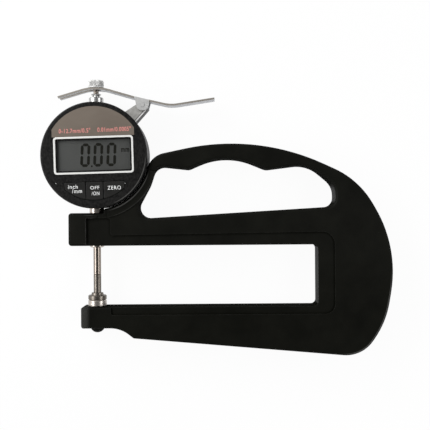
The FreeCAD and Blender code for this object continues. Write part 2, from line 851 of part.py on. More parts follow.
def makeBatteryCover():
    body = newBody("battery_cover", (size.battery_across, caseY - size.battery_down, 0.0))
    flange = newSketch(body, height=backPlane + 0.1)
    drawCircle(flange, 0.0, 0.0, size.battery_cap_radius)
    pad(body, flange, size.cover_thickness / 2 - 0.1)
    plug = newSketch(body, height=backPlane + 0.1)
    drawCircle(plug, 0.0, 0.0, size.battery_cap_radius - 1 - size.running_gap)
    pad(body, plug, size.cover_thickness - 0.1)
    slot = newSketch(body, height=backPlane + 0.1)
    drawBox(slot, asDim(-5.4), asDim(-0.7), asDim(5.4), asDim(0.7), asDim(0.5))
    cut(body, slot, asDim(0.6), flip=True)
    return body


def makeBattery():
    body = newBody("battery", (size.battery_across, caseY - size.battery_down, 0.0))
    bottom = backPlane + size.cover_thickness + size.seat_gap
    can = newSketch(body, height=bottom)
    drawCircle(can, 0.0, 0.0, size.battery_radius)
    pad(body, can, size.battery_thickness - 0.5)
    lid = newSketch(body, height=bottom)
    drawCircle(lid, 0.0, 0.0, size.battery_radius - 1.2)
    pad(body, lid, size.battery_thickness)
    return body


def makeBatteryContact():
    body = newBody("battery_contact", (size.battery_across, caseY - size.battery_down, 0.0))
    low = backPlane + size.cover_thickness + size.seat_gap * 2 + size.battery_thickness
    leaf = newSketch(body, "XZ_Plane")
    drawOutline(leaf, [
        (asDim(-3.0), low), (asDim(6.6), low), (asDim(6.6), boardBack), (asDim(6.2), boardBack),
        (asDim(6.2), low + 0.4), (asDim(-3.0), low + 0.4),
    ])
    pad(body, leaf, asDim(3.0), both=True)
    return body


def makeBezel():
    body = newBody("bezel", (0.0, caseY, 0.0))
    turnBody(body, size.face_turn)
    drum = newSketch(body, height=caseFront + 0.2)
    drawCircle(drum, 0.0, 0.0, size.case_radius)
    pad(body, drum, size.bezel_depth - 0.2)
    roundEdges(body, size.bezel_round, rim(faceZ))
    spigot = newSketch(body, height=caseFront - size.spigot_depth)
    drawCircle(spigot, 0.0, 0.0, caseInner - size.fit_gap)
    pad(body, spigot, size.spigot_depth + 1)
    hollow = newSketch(body, height=caseFront - size.spigot_depth)
    drawCircle(hollow, 0.0, 0.0, caseInner - size.spigot_wall)
    cut(body, hollow, size.bezel_depth + size.spigot_depth - size.face_wall, flip=True)

    plateSeat = newSketch(body, height=faceZ)
    drawSegment(plateSeat, plateHalfWidth + size.running_gap, size.border_height / 2 - 1.6,
                plateRadius + size.running_gap)
    cut(body, plateSeat, size.plate_thickness)

    frameSeat = newSketch(body, height=faceZ)
    seatX = borderWidth / 2 + size.running_gap
    seatY = size.border_height / 2 + size.running_gap
    drawBox(frameSeat, -seatX, -seatY, seatX, seatY, size.border_corner)
    cut(body, frameSeat, size.window_thickness)
    sight = newSketch(body, height=faceZ)
    inset = size.border_line + size.window_ledge
    drawBox(sight, -borderWidth / 2 + inset, -size.border_height / 2 + inset,
            borderWidth / 2 - inset, size.border_height / 2 - inset, asDim(0.6))
    cut(body, sight, size.face_wall + 1)

    keys = newSketch(body, height=faceZ)
    for left, right in keySpans():
        drawKey(keys, left - size.key_gap, right + size.key_gap, -keyTop + size.key_gap,
                keyArc + size.key_gap)
    cut(body, keys, size.face_wall + 1)
    return body


def drawSegment(sketch, halfWidth, bottom, radius):
    """Outline with a flat foot, two upright sides and a round top about the origin."""
    shoulder = math.sqrt(float(radius) ** 2 - float(halfWidth) ** 2)
    right, foot = float(halfWidth), float(bottom)
    corner = [FreeCAD.Vector(x, y, 0)
              for x, y in ((-right, shoulder), (-right, foot), (right, foot), (right, shoulder))]
    sides = [sketch.addGeometry(Part.LineSegment(corner[i], corner[i + 1]), False) for i in range(3)]
    top = sketch.addGeometry(Part.Arc(corner[3], FreeCAD.Vector(0, float(radius), 0), corner[0]), False)
    for first, second in ((sides[0], sides[1]), (sides[1], sides[2]), (sides[2], top), (top, sides[0])):
        sketch.addConstraint(Sketcher.Constraint("Coincident", first, 2, second, 1))
    holdPoint(sketch, sides[1], 1, -halfWidth, bottom)
    holdPoint(sketch, sides[1], 2, halfWidth, bottom)
    sketch.addConstraint(Sketcher.Constraint("Vertical", sides[0]))
    sketch.addConstraint(Sketcher.Constraint("Vertical", sides[2]))
    sketch.addConstraint(Sketcher.Constraint("Coincident", top, 3, -1, 1))
    holdRadius(sketch, top, radius)


def keySpans():
    """Left and right side of each of the three buttons."""
    gap = size.key_gap * 1.4
    return [(-keySide, -size.key_middle - gap), (-size.key_middle, size.key_middle),
            (size.key_middle + gap, keySide)]


def drawKey(sketch, left, right, top, radius):
    """Button outline: three straight sides and a foot that follows the face's edge."""
    foot = [-math.sqrt(float(radius) ** 2 - float(x) ** 2) for x in (left, right)]
    middleX = (float(left) + float(right)) / 2
    middle = FreeCAD.Vector(middleX, -math.sqrt(float(radius) ** 2 - middleX ** 2), 0)
    corner = [FreeCAD.Vector(float(right), foot[1], 0), FreeCAD.Vector(float(right), float(top), 0),
              FreeCAD.Vector(float(left), float(top), 0), FreeCAD.Vector(float(left), foot[0], 0)]
    sides = [sketch.addGeometry(Part.LineSegment(corner[i], corner[i + 1]), False) for i in range(3)]
    bottom = sketch.addGeometry(Part.Arc(corner[3], middle, corner[0]), False)
    for first, second in ((sides[0], sides[1]), (sides[1], sides[2]), (sides[2], bottom), (bottom, sides[0])):
        sketch.addConstraint(Sketcher.Constraint("Coincident", first, 2, second, 1))
    holdPoint(sketch, sides[1], 1, right, top)
    holdPoint(sketch, sides[1], 2, left, top)
    sketch.addConstraint(Sketcher.Constraint("Vertical", sides[0]))
    sketch.addConstraint(Sketcher.Constraint("Vertical", sides[2]))
    sketch.addConstraint(Sketcher.Constraint("Coincident", bottom, 3, -1, 1))
    holdRadius(sketch, bottom, radius)


def makeKey(label, left, right):
    body = newBody(label, (0.0, caseY, 0.0))
    turnBody(body, size.face_turn)
    travelRoom = size.key_travel + size.running_gap * 2
    stemBottom = boardFront + size.dome_height + travelRoom
    top = newSketch(body, height=faceInside - size.key_flange)
    drawKey(top, left, right, -keyTop, keyArc)
    pad(body, top, size.face_wall + size.key_flange + 0.1)
    roundEdges(body, 0.3, rim(faceZ + 0.1))
    flange = newSketch(body, height=faceInside - size.key_flange)
    drawBox(flange, left + 0.6, -keyTop - 2.6, right - 0.6, -keyTop + 0.9)
    pad(body, flange, size.key_flange - 0.1)
    middle = (left + right) / 2
    stem = newSketch(body, height=stemBottom)
    drawCircle(stem, middle, -keyTop - 3, asDim(1.4))
    pad(body, stem, faceInside - size.key_flange - stemBottom + 0.2)
    return body


def makeFacePlate():
    body = newBody("face_plate", (0.0, caseY, 0.0))
    turnBody(body, size.face_turn)
    plate = newSketch(body, height=faceZ - size.plate_thickness)
    drawSegment(plate, plateHalfWidth, size.border_height / 2 + size.running_gap, plateRadius)
    pad(body, plate, size.plate_thickness - 0.05)
    return body


def makeLcdFrame():
    body = newBody("lcd_frame", (0.0, caseY, 0.0))
    turnBody(body, size.face_turn)
    ring = newSketch(body, height=faceZ - size.window_thickness)
    drawBox(ring, -borderWidth / 2, -size.border_height / 2,
            borderWidth / 2, size.border_height / 2, size.border_corner)
    drawBox(ring, -borderWidth / 2 + size.border_line, -size.border_height / 2 + size.border_line,
            borderWidth / 2 - size.border_line, size.border_height / 2 - size.border_line,
            size.border_corner - size.border_line + 0.3)
    pad(body, ring, size.window_thickness + 0.15)
    return body


def makeLcdWindow():
    body = newBody("lcd_window", (0.0, caseY, 0.0))
    turnBody(body, size.face_turn)
    inset = size.border_line + size.fit_gap
    pane = newSketch(body, height=faceZ - size.window_thickness)
    drawBox(pane, -borderWidth / 2 + inset, -size.border_height / 2 + inset,
            borderWidth / 2 - inset, size.border_height / 2 - inset,
            size.border_corner - size.border_line + 0.3)
    pad(body, pane, size.window_thickness - 0.1)
    return body


def makeLcdPanel():
    body = newBody("lcd_panel", (0.0, caseY, 0.0))
    turnBody(body, size.face_turn)
    glass = newSketch(body, height=faceInside - size.panel_thickness)
    drawBox(glass, -borderWidth / 2 + 0.8, -size.border_height / 2 + 0.4,
            borderWidth / 2 - 0.8, size.border_height / 2 - 0.4, asDim(0.3))
    pad(body, glass, size.panel_thickness)
    return body


def makeLcdConnector():
    body = newBody("lcd_connector", (0.0, caseY, 0.0))
    turnBody(body, size.face_turn)
    strips = newSketch(body, height=boardFront)
    for side in (-1, 1):
        middle = (size.border_height / 2 - size.connector_inset) * side
        drawBox(strips, size.connector_inset - borderWidth / 2, middle - size.connector_width / 2,
                borderWidth / 2 - size.connector_inset, middle + size.connector_width / 2)
    pad(body, strips, faceInside - size.panel_thickness - boardFront)
    return body


def makeBoard():
    body = newBody("circuit_board", (0.0, caseY, 0.0))
    turnBody(body, size.face_turn)
    board = newSketch(body, height=boardBack)
    drawCircle(board, 0.0, 0.0, caseInner - size.spigot_wall - size.seat_gap)
    pad(body, board, size.board_thickness)
    return body


def makeDomes():
    body = newBody("dome_switches", (0.0, caseY, 0.0))
    turnBody(body, size.face_turn)
    domes = newSketch(body, height=boardFront)
    for left, right in keySpans():
        drawCircle(domes, (left + right) / 2, -keyTop - 3, size.dome_radius)
    pad(body, domes, size.dome_height)
    return body


def makeScaleStrip():
    body = newBody("scale_strip", (0.0, caseY, 0.0))
    strip = newSketch(body, height=boardBack - size.strip_thickness)
    drawBox(strip, -size.strip_half_width, size.strip_low_inset - size.case_radius,
            size.strip_half_width, size.case_radius - size.strip_high_inset)
    pad(body, strip, size.strip_thickness)
    return body


def makeCarrier():
    body = newBody("scale_carrier", (0.0, caseY - size.carrier_below_centre, 0.0))
    back = -size.spindle_radius - 1.2
    block = newSketch(body, height=back)
    drawBox(block, -size.guide_offset - 3, -size.carrier_height / 2, size.spindle_radius + 2.4,
            size.carrier_height / 2, asDim(0.8))
    pad(body, block, boardBack - size.strip_thickness - size.seat_gap - back)
    bores = newSketch(body, "XZ_Plane")
    drawCircle(bores, 0.0, 0.0, size.spindle_radius + size.fit_gap)
    drawCircle(bores, -size.guide_offset, 0.0, size.guide_radius + size.running_gap)
    cut(body, bores, size.carrier_height + 2, both=True)
    return body


def makeGuideRod():
    body = newBody("guide_rod", (-size.guide_offset, caseY, 0.0))
    reach = size.case_radius - 2.4
    turned(body, [(0.0, -reach), (size.guide_radius, -reach), (size.guide_radius, reach), (0.0, reach)])
    return body


def makeReturnSpring():
    body = newBody("return_spring", (-size.guide_offset, caseY, 0.0))
    bottom = -size.carrier_below_centre - size.carrier_height / 2 - size.seat_gap
    top = -(caseInner - 2.6)
    inner = size.guide_radius + 0.2
    turned(body, [(inner, top), (size.coil_radius, top), (size.coil_radius, bottom), (inner, bottom)])
    return body


def makeBracket():
    body = newBody("lever_bracket", (0.0, caseY, 0.0))
    turnBody(body, bracketTurn)
    outline = newSketch(body)
    drawOutline(outline, [
        (asDim(-5.2), size.case_radius - 3),
        (asDim(-1.3), size.pivot_radius + 3.0, asDim(2.3)),
        (asDim(3.9), size.pivot_radius + 0.9, asDim(1.0)),
        (asDim(4.2), size.case_radius - 3),
    ])
    pad(body, outline, size.bracket_depth, both=True)
    channel = newSketch(body)
    drawOutline(channel, [
        (asDim(-8.0), footTop),
        (4.2 - size.bracket_sheet, footTop),
        (3.9 - size.bracket_sheet, size.pivot_radius + 6),
        (asDim(-8.0), size.pivot_radius + 6),
    ])
    cut(body, channel, size.bracket_depth - size.bracket_sheet * 2, both=True)
    rim = newSketch(body)
    drawCircle(rim, 0.0, 0.0, size.case_radius + size.fit_gap)
    cut(body, rim, size.bracket_depth + 2, both=True)
    pinHole = newSketch(body)
    drawCircle(pinHole, 0.0, size.pivot_radius, size.pin_radius + size.fit_gap)
    cut(body, pinHole, size.bracket_depth + 2, both=True)
    screwHoles = newSketch(body, "XZ_Plane", -footTop - 0.5)
    for x in bracketScrews:
        drawCircle(screwHoles, x, 0.0, size.bracket_screw_radius + size.fit_gap)
    cut(body, screwHoles, size.bracket_foot + 2, flip=True)
    return body


def makeBracketScrews():
    body = newBody("bracket_screws", (0.0, caseY, 0.0))
    turnBody(body, bracketTurn)
    heads = newSketch(body, "XZ_Plane", -footTop)
    shanks = newSketch(body, "XZ_Plane", -footTop)
    for x in bracketScrews:
        drawCircle(heads, x, 0.0, size.bracket_head_radius)
        drawCircle(shanks, x, 0.0, size.bracket_screw_radius)
    pad(body, heads, size.bracket_head_height, flip=True)
    pad(body, shanks, size.bracket_screw_length)
    return body


def makeLeverPin():
    body = newBody("lever_pin", (pivotX, pivotY, 0.0))
    rod = newSketch(body)
    drawCircle(rod, 0.0, 0.0, size.pin_radius)
    pad(body, rod, size.lever_depth + 0.4, both=True)
    return body


def bentSheet(topLine, thickness):
    """Closed outline of a bent sheet from the corners (x, y, radius) of its upper line."""
    points = [FreeCAD.Vector(float(x), float(y), 0) for x, y, _ in topLine]
    runs = [(after - before).normalize() for before, after in zip(points, points[1:])]
    down = [FreeCAD.Vector(run.y, -run.x, 0) for run in runs]
    lower = []
    for i, point in enumerate(points):
        first, last = down[max(i - 1, 0)], down[min(i, len(down) - 1)]
        mitre = (first + last).normalize()
        lower.append(point + mitre * (float(thickness) / mitre.dot(first)))
    outline = list(topLine)
    for i in reversed(range(len(points))):
        radius = float(topLine[i][2])
        if radius:
            rises = runs[i - 1].cross(runs[i]).z > 0
            radius += float(thickness) if rises else -float(thickness)
        outline.append((lower[i].x, lower[i].y, radius))
    return outline


def makeLever():
    body = newBody("lift_lever")
    tipX = -size.lever_reach
    line = [
        (tipX, forkTop - size.fork_drop, 0.0),
        (-size.fork_half, forkTop, 22.0),
        (size.fork_half, forkTop, 22.0),
        (kneeX, kneeY, 60.0),
        (pivotX + size.lever_dip, pivotY, 20.0),
        (pivotX + size.lever_tail, pivotY + size.lever_tail_rise, 0.0),
    ]
    strip = newSketch(body)
    drawOutline(strip, bentSheet(line, size.lever_thickness))
    pad(body, strip, size.lever_depth, both=True)
    slot = newSketch(body, "XZ_Plane")
    drawBox(slot, tipX - 5, -size.fork_slot / 2, size.fork_slot / 2 + 0.6, size.fork_slot / 2)
    cut(body, slot, (forkTop + 10) * 2, both=True)
    ears = newSketch(body, height=size.lever_depth / 2 - size.lever_thickness)
    drawEar(ears)
    pad(body, ears, size.lever_thickness)
    rearEar = newSketch(body, height=-size.lever_depth / 2)
    drawEar(rearEar)
    pad(body, rearEar, size.lever_thickness)
    pinHole = newSketch(body)
    drawCircle(pinHole, pivotX, pivotY, size.pin_radius + size.running_gap)
    cut(body, pinHole, size.lever_depth + 2, both=True)
    return body


def drawEar(sketch):
    """Ear of the lever: its top lies in the sloping sheet, and it narrows to a round foot at the pivot."""
    slope = (kneeY - pivotY) / (pivotX + size.lever_dip - kneeX)
    top = [kneeY - (pivotX + reach - kneeX) * slope - size.lever_thickness / 2
           for reach in (-size.ear_half_width, size.ear_half_width)]
    foot = size.ear_radius * 0.9
    drawOutline(sketch, [
        (pivotX - size.ear_half_width, top[0]),
        (pivotX - foot, pivotY - size.ear_radius, size.ear_radius * 0.95),
        (pivotX + foot, pivotY - size.ear_radius, size.ear_radius * 0.95),
        (pivotX + size.ear_half_width, top[1]),
    ])


def makeClampScrew():
    screwY = armBottom + size.upper_arm_height / 2
    body = newBody("clamp_screw", (-size.clamp_screw_offset, screwY, 0.0))
    head = newSketch(body, height=backPlane + size.seat_gap)
    drawCircle(head, 0.0, 0.0, size.clamp_head_radius)
    pad(body, head, size.clamp_head_height)
    shank = newSketch(body, height=backPlane + size.seat_gap)
    drawCircle(shank, 0.0, 0.0, size.clamp_screw_radius)
    pad(body, shank, size.frame_thickness - 3.5)
    socket = newSketch(body, height=backPlane + size.seat_gap)
    drawHexagon(socket, size.clamp_head_radius * 0.5)
    cut(body, socket, asDim(2.2), flip=True)
    return body


def drawHexagon(sketch, radius):
    corners = [(radius * math.cos(math.radians(60 * i)), radius * math.sin(math.radians(60 * i)))
               for i in range(6)]
    drawOutline(sketch, corners)


def makeAnvilScrew():
    body = newBody("anvil_screw", (0.0, floorY - 5.5, 0.0))
    rod = newSketch(body, height=backPlane + 0.4)
    drawCircle(rod, 0.0, 0.0, size.set_screw_radius)
    pad(body, rod, half - size.anvil_shank_radius - 0.4 - size.fit_gap)
    socket = newSketch(body, height=backPlane + 0.4)
    drawHexagon(socket, size.set_screw_radius * 0.55)
    cut(body, socket, asDim(1.4), flip=True)
    return body


makers = [
    makeFrame, makeAnvil, makeContact, makeSpindle, makeStem, makeUpperBushing, makeLiftingCap,
    makeCase, makeBackCover, makeCoverScrews, makeBatteryCover, makeBattery, makeBatteryContact,
    makeBezel, makeFacePlate, makeLcdFrame, makeLcdWindow, makeLcdPanel, makeLcdConnector,
    makeBoard, makeDomes, makeScaleStrip, makeCarrier, makeGuideRod, makeReturnSpring,
    makeBracket, makeBracketScrews, makeLeverPin, makeLever, makeClampScrew, makeAnvilScrew,
]
subParts = [maker() for maker in makers]
for label, (left, right) in zip(("button_unit", "button_power", "button_zero"), keySpans()):
    subParts.append(makeKey(label, left, right))
doc.recompute()

for item in doc.Objects:
    if "Invalid" in item.State or "Error" in item.State:
        raise ValueError(f"{item.Label} failed: {item.State}")
for part in subParts:
    if part.Shape.isNull() or not part.Shape.isValid():
        raise ValueError(f"{part.Label} has no valid shape")

os.makedirs("parts", exist_ok=True)
for part in subParts:
    part.Shape.exportStep(f"parts/{part.Label}.step")
    print(f"{part.Label}: {len(part.Shape.Solids)} solid(s), {part.Shape.Volume:.1f} mm3")
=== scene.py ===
import math

import bmesh
import bpy
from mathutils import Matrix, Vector


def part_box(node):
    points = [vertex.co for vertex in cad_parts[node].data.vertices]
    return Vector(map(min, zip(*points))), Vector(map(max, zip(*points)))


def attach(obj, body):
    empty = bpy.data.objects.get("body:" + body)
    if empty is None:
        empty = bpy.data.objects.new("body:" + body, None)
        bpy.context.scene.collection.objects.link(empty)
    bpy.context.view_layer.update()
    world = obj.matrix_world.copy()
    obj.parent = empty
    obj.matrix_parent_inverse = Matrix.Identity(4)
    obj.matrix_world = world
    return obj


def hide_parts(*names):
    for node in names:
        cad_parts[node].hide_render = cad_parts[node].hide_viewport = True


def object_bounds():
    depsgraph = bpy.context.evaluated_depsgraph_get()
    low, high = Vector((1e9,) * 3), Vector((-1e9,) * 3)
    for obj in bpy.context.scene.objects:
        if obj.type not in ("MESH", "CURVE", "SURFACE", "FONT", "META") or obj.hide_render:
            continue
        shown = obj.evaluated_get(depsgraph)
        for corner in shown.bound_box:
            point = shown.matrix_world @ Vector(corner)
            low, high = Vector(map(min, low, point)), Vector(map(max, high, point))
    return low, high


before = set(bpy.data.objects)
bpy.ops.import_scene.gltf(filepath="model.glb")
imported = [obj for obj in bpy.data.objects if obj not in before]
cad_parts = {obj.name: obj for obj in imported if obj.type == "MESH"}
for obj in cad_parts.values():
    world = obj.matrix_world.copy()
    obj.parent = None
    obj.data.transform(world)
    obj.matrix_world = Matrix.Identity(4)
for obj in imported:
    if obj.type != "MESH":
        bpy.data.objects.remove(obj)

print("frame loaded:", len(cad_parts), "nodes")
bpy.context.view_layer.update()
mm = 0.001

faceLow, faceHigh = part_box("bezel")
face = {
    "x": (faceLow.x + faceHigh.x) / 2,
    "y": (faceLow.y + faceHigh.y) / 2,
    "turn": math.radians(1.4),  # the face sits a little askew in its case
}


# materials

def newMaterial(name, colour, metallic, roughness):
    material = bpy.data.materials.new(name)
    material.use_nodes = True
    shader = material.node_tree.nodes["Principled BSDF"]
    shader.inputs["Base Color"].default_value = (*colour, 1)
    shader.inputs["Metallic"].default_value = metallic
    shader.inputs["Roughness"].default_value = roughness
    return material, shader


def addNode(material, kind, inputs=None, **settings):
    node = material.node_tree.nodes.new("ShaderNode" + kind)
    for key, value in settings.items():
        setattr(node, key, value)
    for key, value in (inputs or {}).items():
        if isinstance(value, bpy.types.NodeSocket):
            material.node_tree.links.new(value, node.inputs[key])
        else:
            node.inputs[key].default_value = value
    return node


def place(material, stretch=(1, 1, 1), turn=0.0):  # object coordinates, stretched and turned about Z
    where = addNode(material, "TexCoord").outputs["Object"]
    mapping = addNode(material, "Mapping", {"Vector": where})
    mapping.inputs["Scale"].default_value = stretch
    mapping.inputs["Rotation"].default_value = (0, 0, math.radians(turn))
    return mapping.outputs["Vector"]


def noise(material, size, detail=4.0, rough=0.55, stretch=(1, 1, 1), turn=0.0):
    # size is the width of one spot in metres
    where = place(material, stretch, turn)
    return addNode(material, "TexNoise", {"Vector": where, "Scale": 1 / size, "Detail": detail,
                                          "Roughness": rough}).outputs["Fac"]


def spread(material, value, low, high, start=0.3, end=0.7):  # maps noise to a range
    node = addNode(material, "MapRange", {"Value": value, "From Min": start, "From Max": end,
                                          "To Min": low, "To Max": high})
    return node.outputs["Result"]


def twoTone(material, value, first, second):
    node = addNode(material, "Mix", data_type="RGBA")
    material.node_tree.links.new(value, node.inputs["Factor"])
    node.inputs[6].default_value = (*first, 1)
    node.inputs[7].default_value = (*second, 1)
    return node.outputs[2]


def maths(material, operation, first, second=0.0, clamp=False):
    node = addNode(material, "Math", {0: first, 1: second}, operation=operation, use_clamp=clamp)
    return node.outputs[0]


def times(material, first, second, clamp=False):
    return maths(material, "MULTIPLY", first, second, clamp)


def plus(material, first, second):
    return maths(material, "ADD", first, second)


toRight = (1, 0, 0)
toTop = (0, 1, 0)


def along(material, direction, start, end):  # 0 before start, 1 after end, in metres along a direction
    where = addNode(material, "TexCoord").outputs["Object"]
    run = addNode(material, "VectorMath", {0: where, 1: direction}, operation="DOT_PRODUCT").outputs["Value"]
    return addNode(material, "MapRange", {"Value": run, "From Min": start, "From Max": end},
                   interpolation_type="SMOOTHSTEP").outputs["Result"]


def stripe(material, direction, rise, fall):  # 1 between two fades; fall is given from its far end
    return times(material, along(material, direction, *rise), along(material, direction, *fall))


def ring(material, radius, width):  # 1 on a circle about the face's centre, 0 half a width off it
    where = addNode(material, "TexCoord").outputs["Object"]
    flat = addNode(material, "VectorMath", {0: where, 1: (1, 1, 0)}, operation="MULTIPLY").outputs[0]
    centre = (0, face["y"], 0)
    away = addNode(material, "VectorMath", {0: flat, 1: centre}, operation="DISTANCE").outputs["Value"]
    off = maths(material, "ABSOLUTE", maths(material, "SUBTRACT", away, radius))
    return spread(material, off, 1, 0, 0, width / 2)


def edges(material, width, low=0.02, high=0.2):  # 1 on sharp edges
    rounded = addNode(material, "Bevel", {"Radius": width}, samples=6).outputs[0]
    own = addNode(material, "NewGeometry").outputs["Normal"]
    same = addNode(material, "VectorMath", {0: rounded, 1: own}, operation="DOT_PRODUCT").outputs["Value"]
    return spread(material, maths(material, "SUBTRACT", 1.0, same), 0, 1, low, high)


def facing(material):  # X, Y and Z of the surface's normal
    normal = addNode(material, "NewGeometry").outputs["Normal"]
    return addNode(material, "SeparateXYZ", {0: normal}).outputs


def overlay(material, mask, below, colour):  # lays a colour over another where the mask is 1
    node = addNode(material, "Mix", data_type="RGBA")
    material.node_tree.links.new(mask, node.inputs["Factor"])
    material.node_tree.links.new(below, node.inputs[6])
    node.inputs[7].default_value = (*colour, 1)
    return node.outputs[2]


def bump(material, height, depth, under=None):  # depth in metres
    inputs = {"Height": height, "Distance": depth, "Strength": 1.0}
    if under:
        inputs["Normal"] = under
    return addNode(material, "Bump", inputs).outputs["Normal"]


def finish(material, shader, colour=None, roughness=None, normal=None):
    links = material.node_tree.links
    for socket, value in (("Base Color", colour), ("Roughness", roughness), ("Normal", normal)):
        if value:
            links.new(value, shader.inputs[socket])
    return material


def shaded(colour, share):  # the same colour, darker or lighter, and no brighter than white
    return tuple(min(1, c * share) for c in colour)


# a pair of places is a fade, from where the mask is 0 to where it is 1
paint = {
    "tones": ((0.0022, 0.0023, 0.0014), (0.0046, 0.0047, 0.0032)),
    "dustTone": (0.013, 0.0125, 0.011),
    "dustRange": (0.73, 0.8),  # only the tops of the specks are dust
    # painted highlight on the lower arm's rounded left end
    "noseHighlightTone": (0.026, 0.026, 0.024),
    "noseLeft": (-2.7 * mm, -5.0 * mm),
    "noseBelow": (9 * mm, 4 * mm),
    "edgeTone": (0.085, 0.084, 0.08),  # where the black is rubbed, and the tone of the painted highlights
    "edgeWidth": 0.5 * mm,
    "edgeShare": 0.2,  # how much of it there is away from the stem's block
    "blockRise": (-6.4 * mm, -4.9 * mm),
    "blockFall": (0.0, -2 * mm),
    # painted highlights along the cradle's lip round the indicator
    "lips": ((30.5 * mm, 1.0 * mm, 1.5), (34.1 * mm, 0.8 * mm, 0.22)),  # radius, width and strength
    "lipRight": (6 * mm, 15 * mm),
    "lipSlant": (1, 1, 0),
    "lipBelow": (99 * mm, 90 * mm),
    "rimSlant": (1, -0.6, 0),  # painted highlight on the rounded rim, towards the lower right corner
    "rimRange": (149 * mm, 158 * mm),
    "roundStart": (0.003, 0.02),  # how far a surface tips from the front where the rounding starts and ends
    "roundEnd": (0.25, 0.1),
    "rimStrength": 0.7,
    "cloud": {"size": 14 * mm, "detail": 5},
    "cast": {"size": 3.2 * mm, "detail": 3},
    "castDepth": 0.09 * mm,
    "castShare": (0.3, 1),  # how evenly the edges are rubbed and highlit
    "speck": {"size": 1.1 * mm, "detail": 2, "rough": 0.8},
    "skin": {"size": 0.5 * mm, "detail": 3},
    "skinDepth": 0.03 * mm,
    "skinShare": (0.5, 1),  # how patchy the painted highlight on the nose is
    "gloss": (0.55, 0.62),
    "skinGloss": (-0.05, 0.07),
    "sideGloss": 0.3,  # upright sides are duller by this
    "uprightRange": (0.5, 0.95),
    "leftRange": (-0.8, -0.95),  # the throat's end faces left and stays as shiny as the front
    "shine": 0.08,
    "sideShine": 0.08,  # share of it that upright sides have
    "lowShine": 0.72,  # share of it that the lower arm has
    "lowRange": (-15 * mm, 45 * mm),
    "hollowReach": 1.5 * mm,
    "hollowRange": (0.5, 0.95),
}


# painted highlight: the lower arm's rounded left end made lighter, as where it catches light from the left
def paintedNoseHighlight(material, skin):
    nose = times(material, along(material, toRight, *paint["noseLeft"]),
                 along(material, toTop, *paint["noseBelow"]))
    return times(material, nose, spread(material, skin, *paint["skinShare"]))


def paintedLipHighlights(material):  # painted highlights: the lines round the indicator, on its right side only
    lines = []
    for radius, width, strength in paint["lips"]:
        lines.append(times(material, ring(material, radius, width), strength))
    right = times(material, along(material, toRight, *paint["lipRight"]),
                  along(material, paint["lipSlant"], *paint["lipBelow"]))
    return times(material, plus(material, *lines), right, True)


def wornAndHighlitEdges(material, cast):  # edge wear with a painted highlight, most of all on the block that clamps the stem
    rubbed = times(material, edges(material, paint["edgeWidth"]), spread(material, cast, *paint["castShare"]))
    block = stripe(material, toRight, paint["blockRise"], paint["blockFall"])
    return times(material, rubbed, spread(material, block, paint["edgeShare"], 1, 0, 1))


# painted highlight on the frame's rounded outer rim
def paintedRimHighlight(material, upright):
    rounding = times(material, spread(material, upright, 0, paint["rimStrength"], *paint["roundStart"]),
                     spread(material, upright, 0, 1, *paint["roundEnd"]))
    return times(material, rounding, along(material, paint["rimSlant"], *paint["rimRange"]))


def paintShine(material, upright, leftward):  # none in hollows, little on upright sides
    hollow = addNode(material, "AmbientOcclusion", {"Distance": paint["hollowReach"]}, samples=8)
    level = spread(material, hollow.outputs["AO"], 0, paint["shine"], *paint["hollowRange"])
    side = spread(material, upright, 1, paint["sideShine"], *paint["uprightRange"])
    lower = spread(material, along(material, toTop, *paint["lowRange"]), paint["lowShine"], 1, 0, 1)
    return times(material, times(material, level, maths(material, "MAXIMUM", side, leftward)), lower)


def castPaint():  # satin black paint over a sand-cast frame, rubbed at its edges, with painted highlights on its edges, its nose, the lips round the indicator and the lower right rim
    material, shader = newMaterial("castPaint", (0.005, 0.005, 0.004), 0.0, 0.6)
    shader.inputs["Specular IOR Level"].default_value = paint["shine"]  # the front's level; the link below varies it
    cloud = noise(material, **paint["cloud"])
    skin = noise(material, **paint["skin"])
    cast = noise(material, **paint["cast"])
    speck = noise(material, **paint["speck"])
    upright = maths(material, "SUBTRACT", 1.0, maths(material, "ABSOLUTE", facing(material)["Z"]))
    leftward = spread(material, facing(material)["X"], 0, 1, *paint["leftRange"])
    tone = twoTone(material, spread(material, cloud, 0, 1), *paint["tones"])
    tone = overlay(material, spread(material, speck, 0, 1, *paint["dustRange"]), tone, paint["dustTone"])
    # painted highlight on the nose
    tone = overlay(material, paintedNoseHighlight(material, skin), tone, paint["noseHighlightTone"])
    # painted highlights, and edge wear, laid on in the lighter tone
    for mask in (paintedLipHighlights(material), wornAndHighlitEdges(material, cast), paintedRimHighlight(material, upright)):
        tone = overlay(material, mask, tone, paint["edgeTone"])
    gloss = plus(material, spread(material, cloud, *paint["gloss"]),
                 spread(material, skin, *paint["skinGloss"]))
    side = spread(material, upright, 0, 1, *paint["uprightRange"])
    dull = maths(material, "SUBTRACT", side, leftward, True)
    gloss = plus(material, gloss, times(material, dull, paint["sideGloss"]))
    shine = paintShine(material, upright, leftward)
    material.node_tree.links.new(shine, shader.inputs["Specular IOR Level"])
    normal = bump(material, skin, paint["skinDepth"], bump(material, cast, paint["castDepth"]))
    return finish(material, shader, tone, gloss, normal)


bezel = {
    "tones": ((0.0018, 0.0018, 0.0017), (0.0122, 0.0119, 0.0113)),
    "toneRange": (0.36, 0.66),
    "grain": {"size": 0.8 * mm, "detail": 2, "rough": 0.75, "stretch": (1, 0.6, 1), "turn": 35},
    "grainDepth": 0.06 * mm,
    "grainGloss": (-0.04, 0.06),
    "cloud": {"size": 9 * mm, "detail": 3},
    "gloss": (0.4, 0.5),
    "shine": 0.14,
    "line": (27.8 * mm, 0.6 * mm, 1.3),  # painted highlight line: radius, width and strength
    "lineSlant": (0.82, -0.57, 0),  # the painted highlight shows towards the lower right
    "lineRange": (22 * mm, 27 * mm),  # measured from the face's centre
}


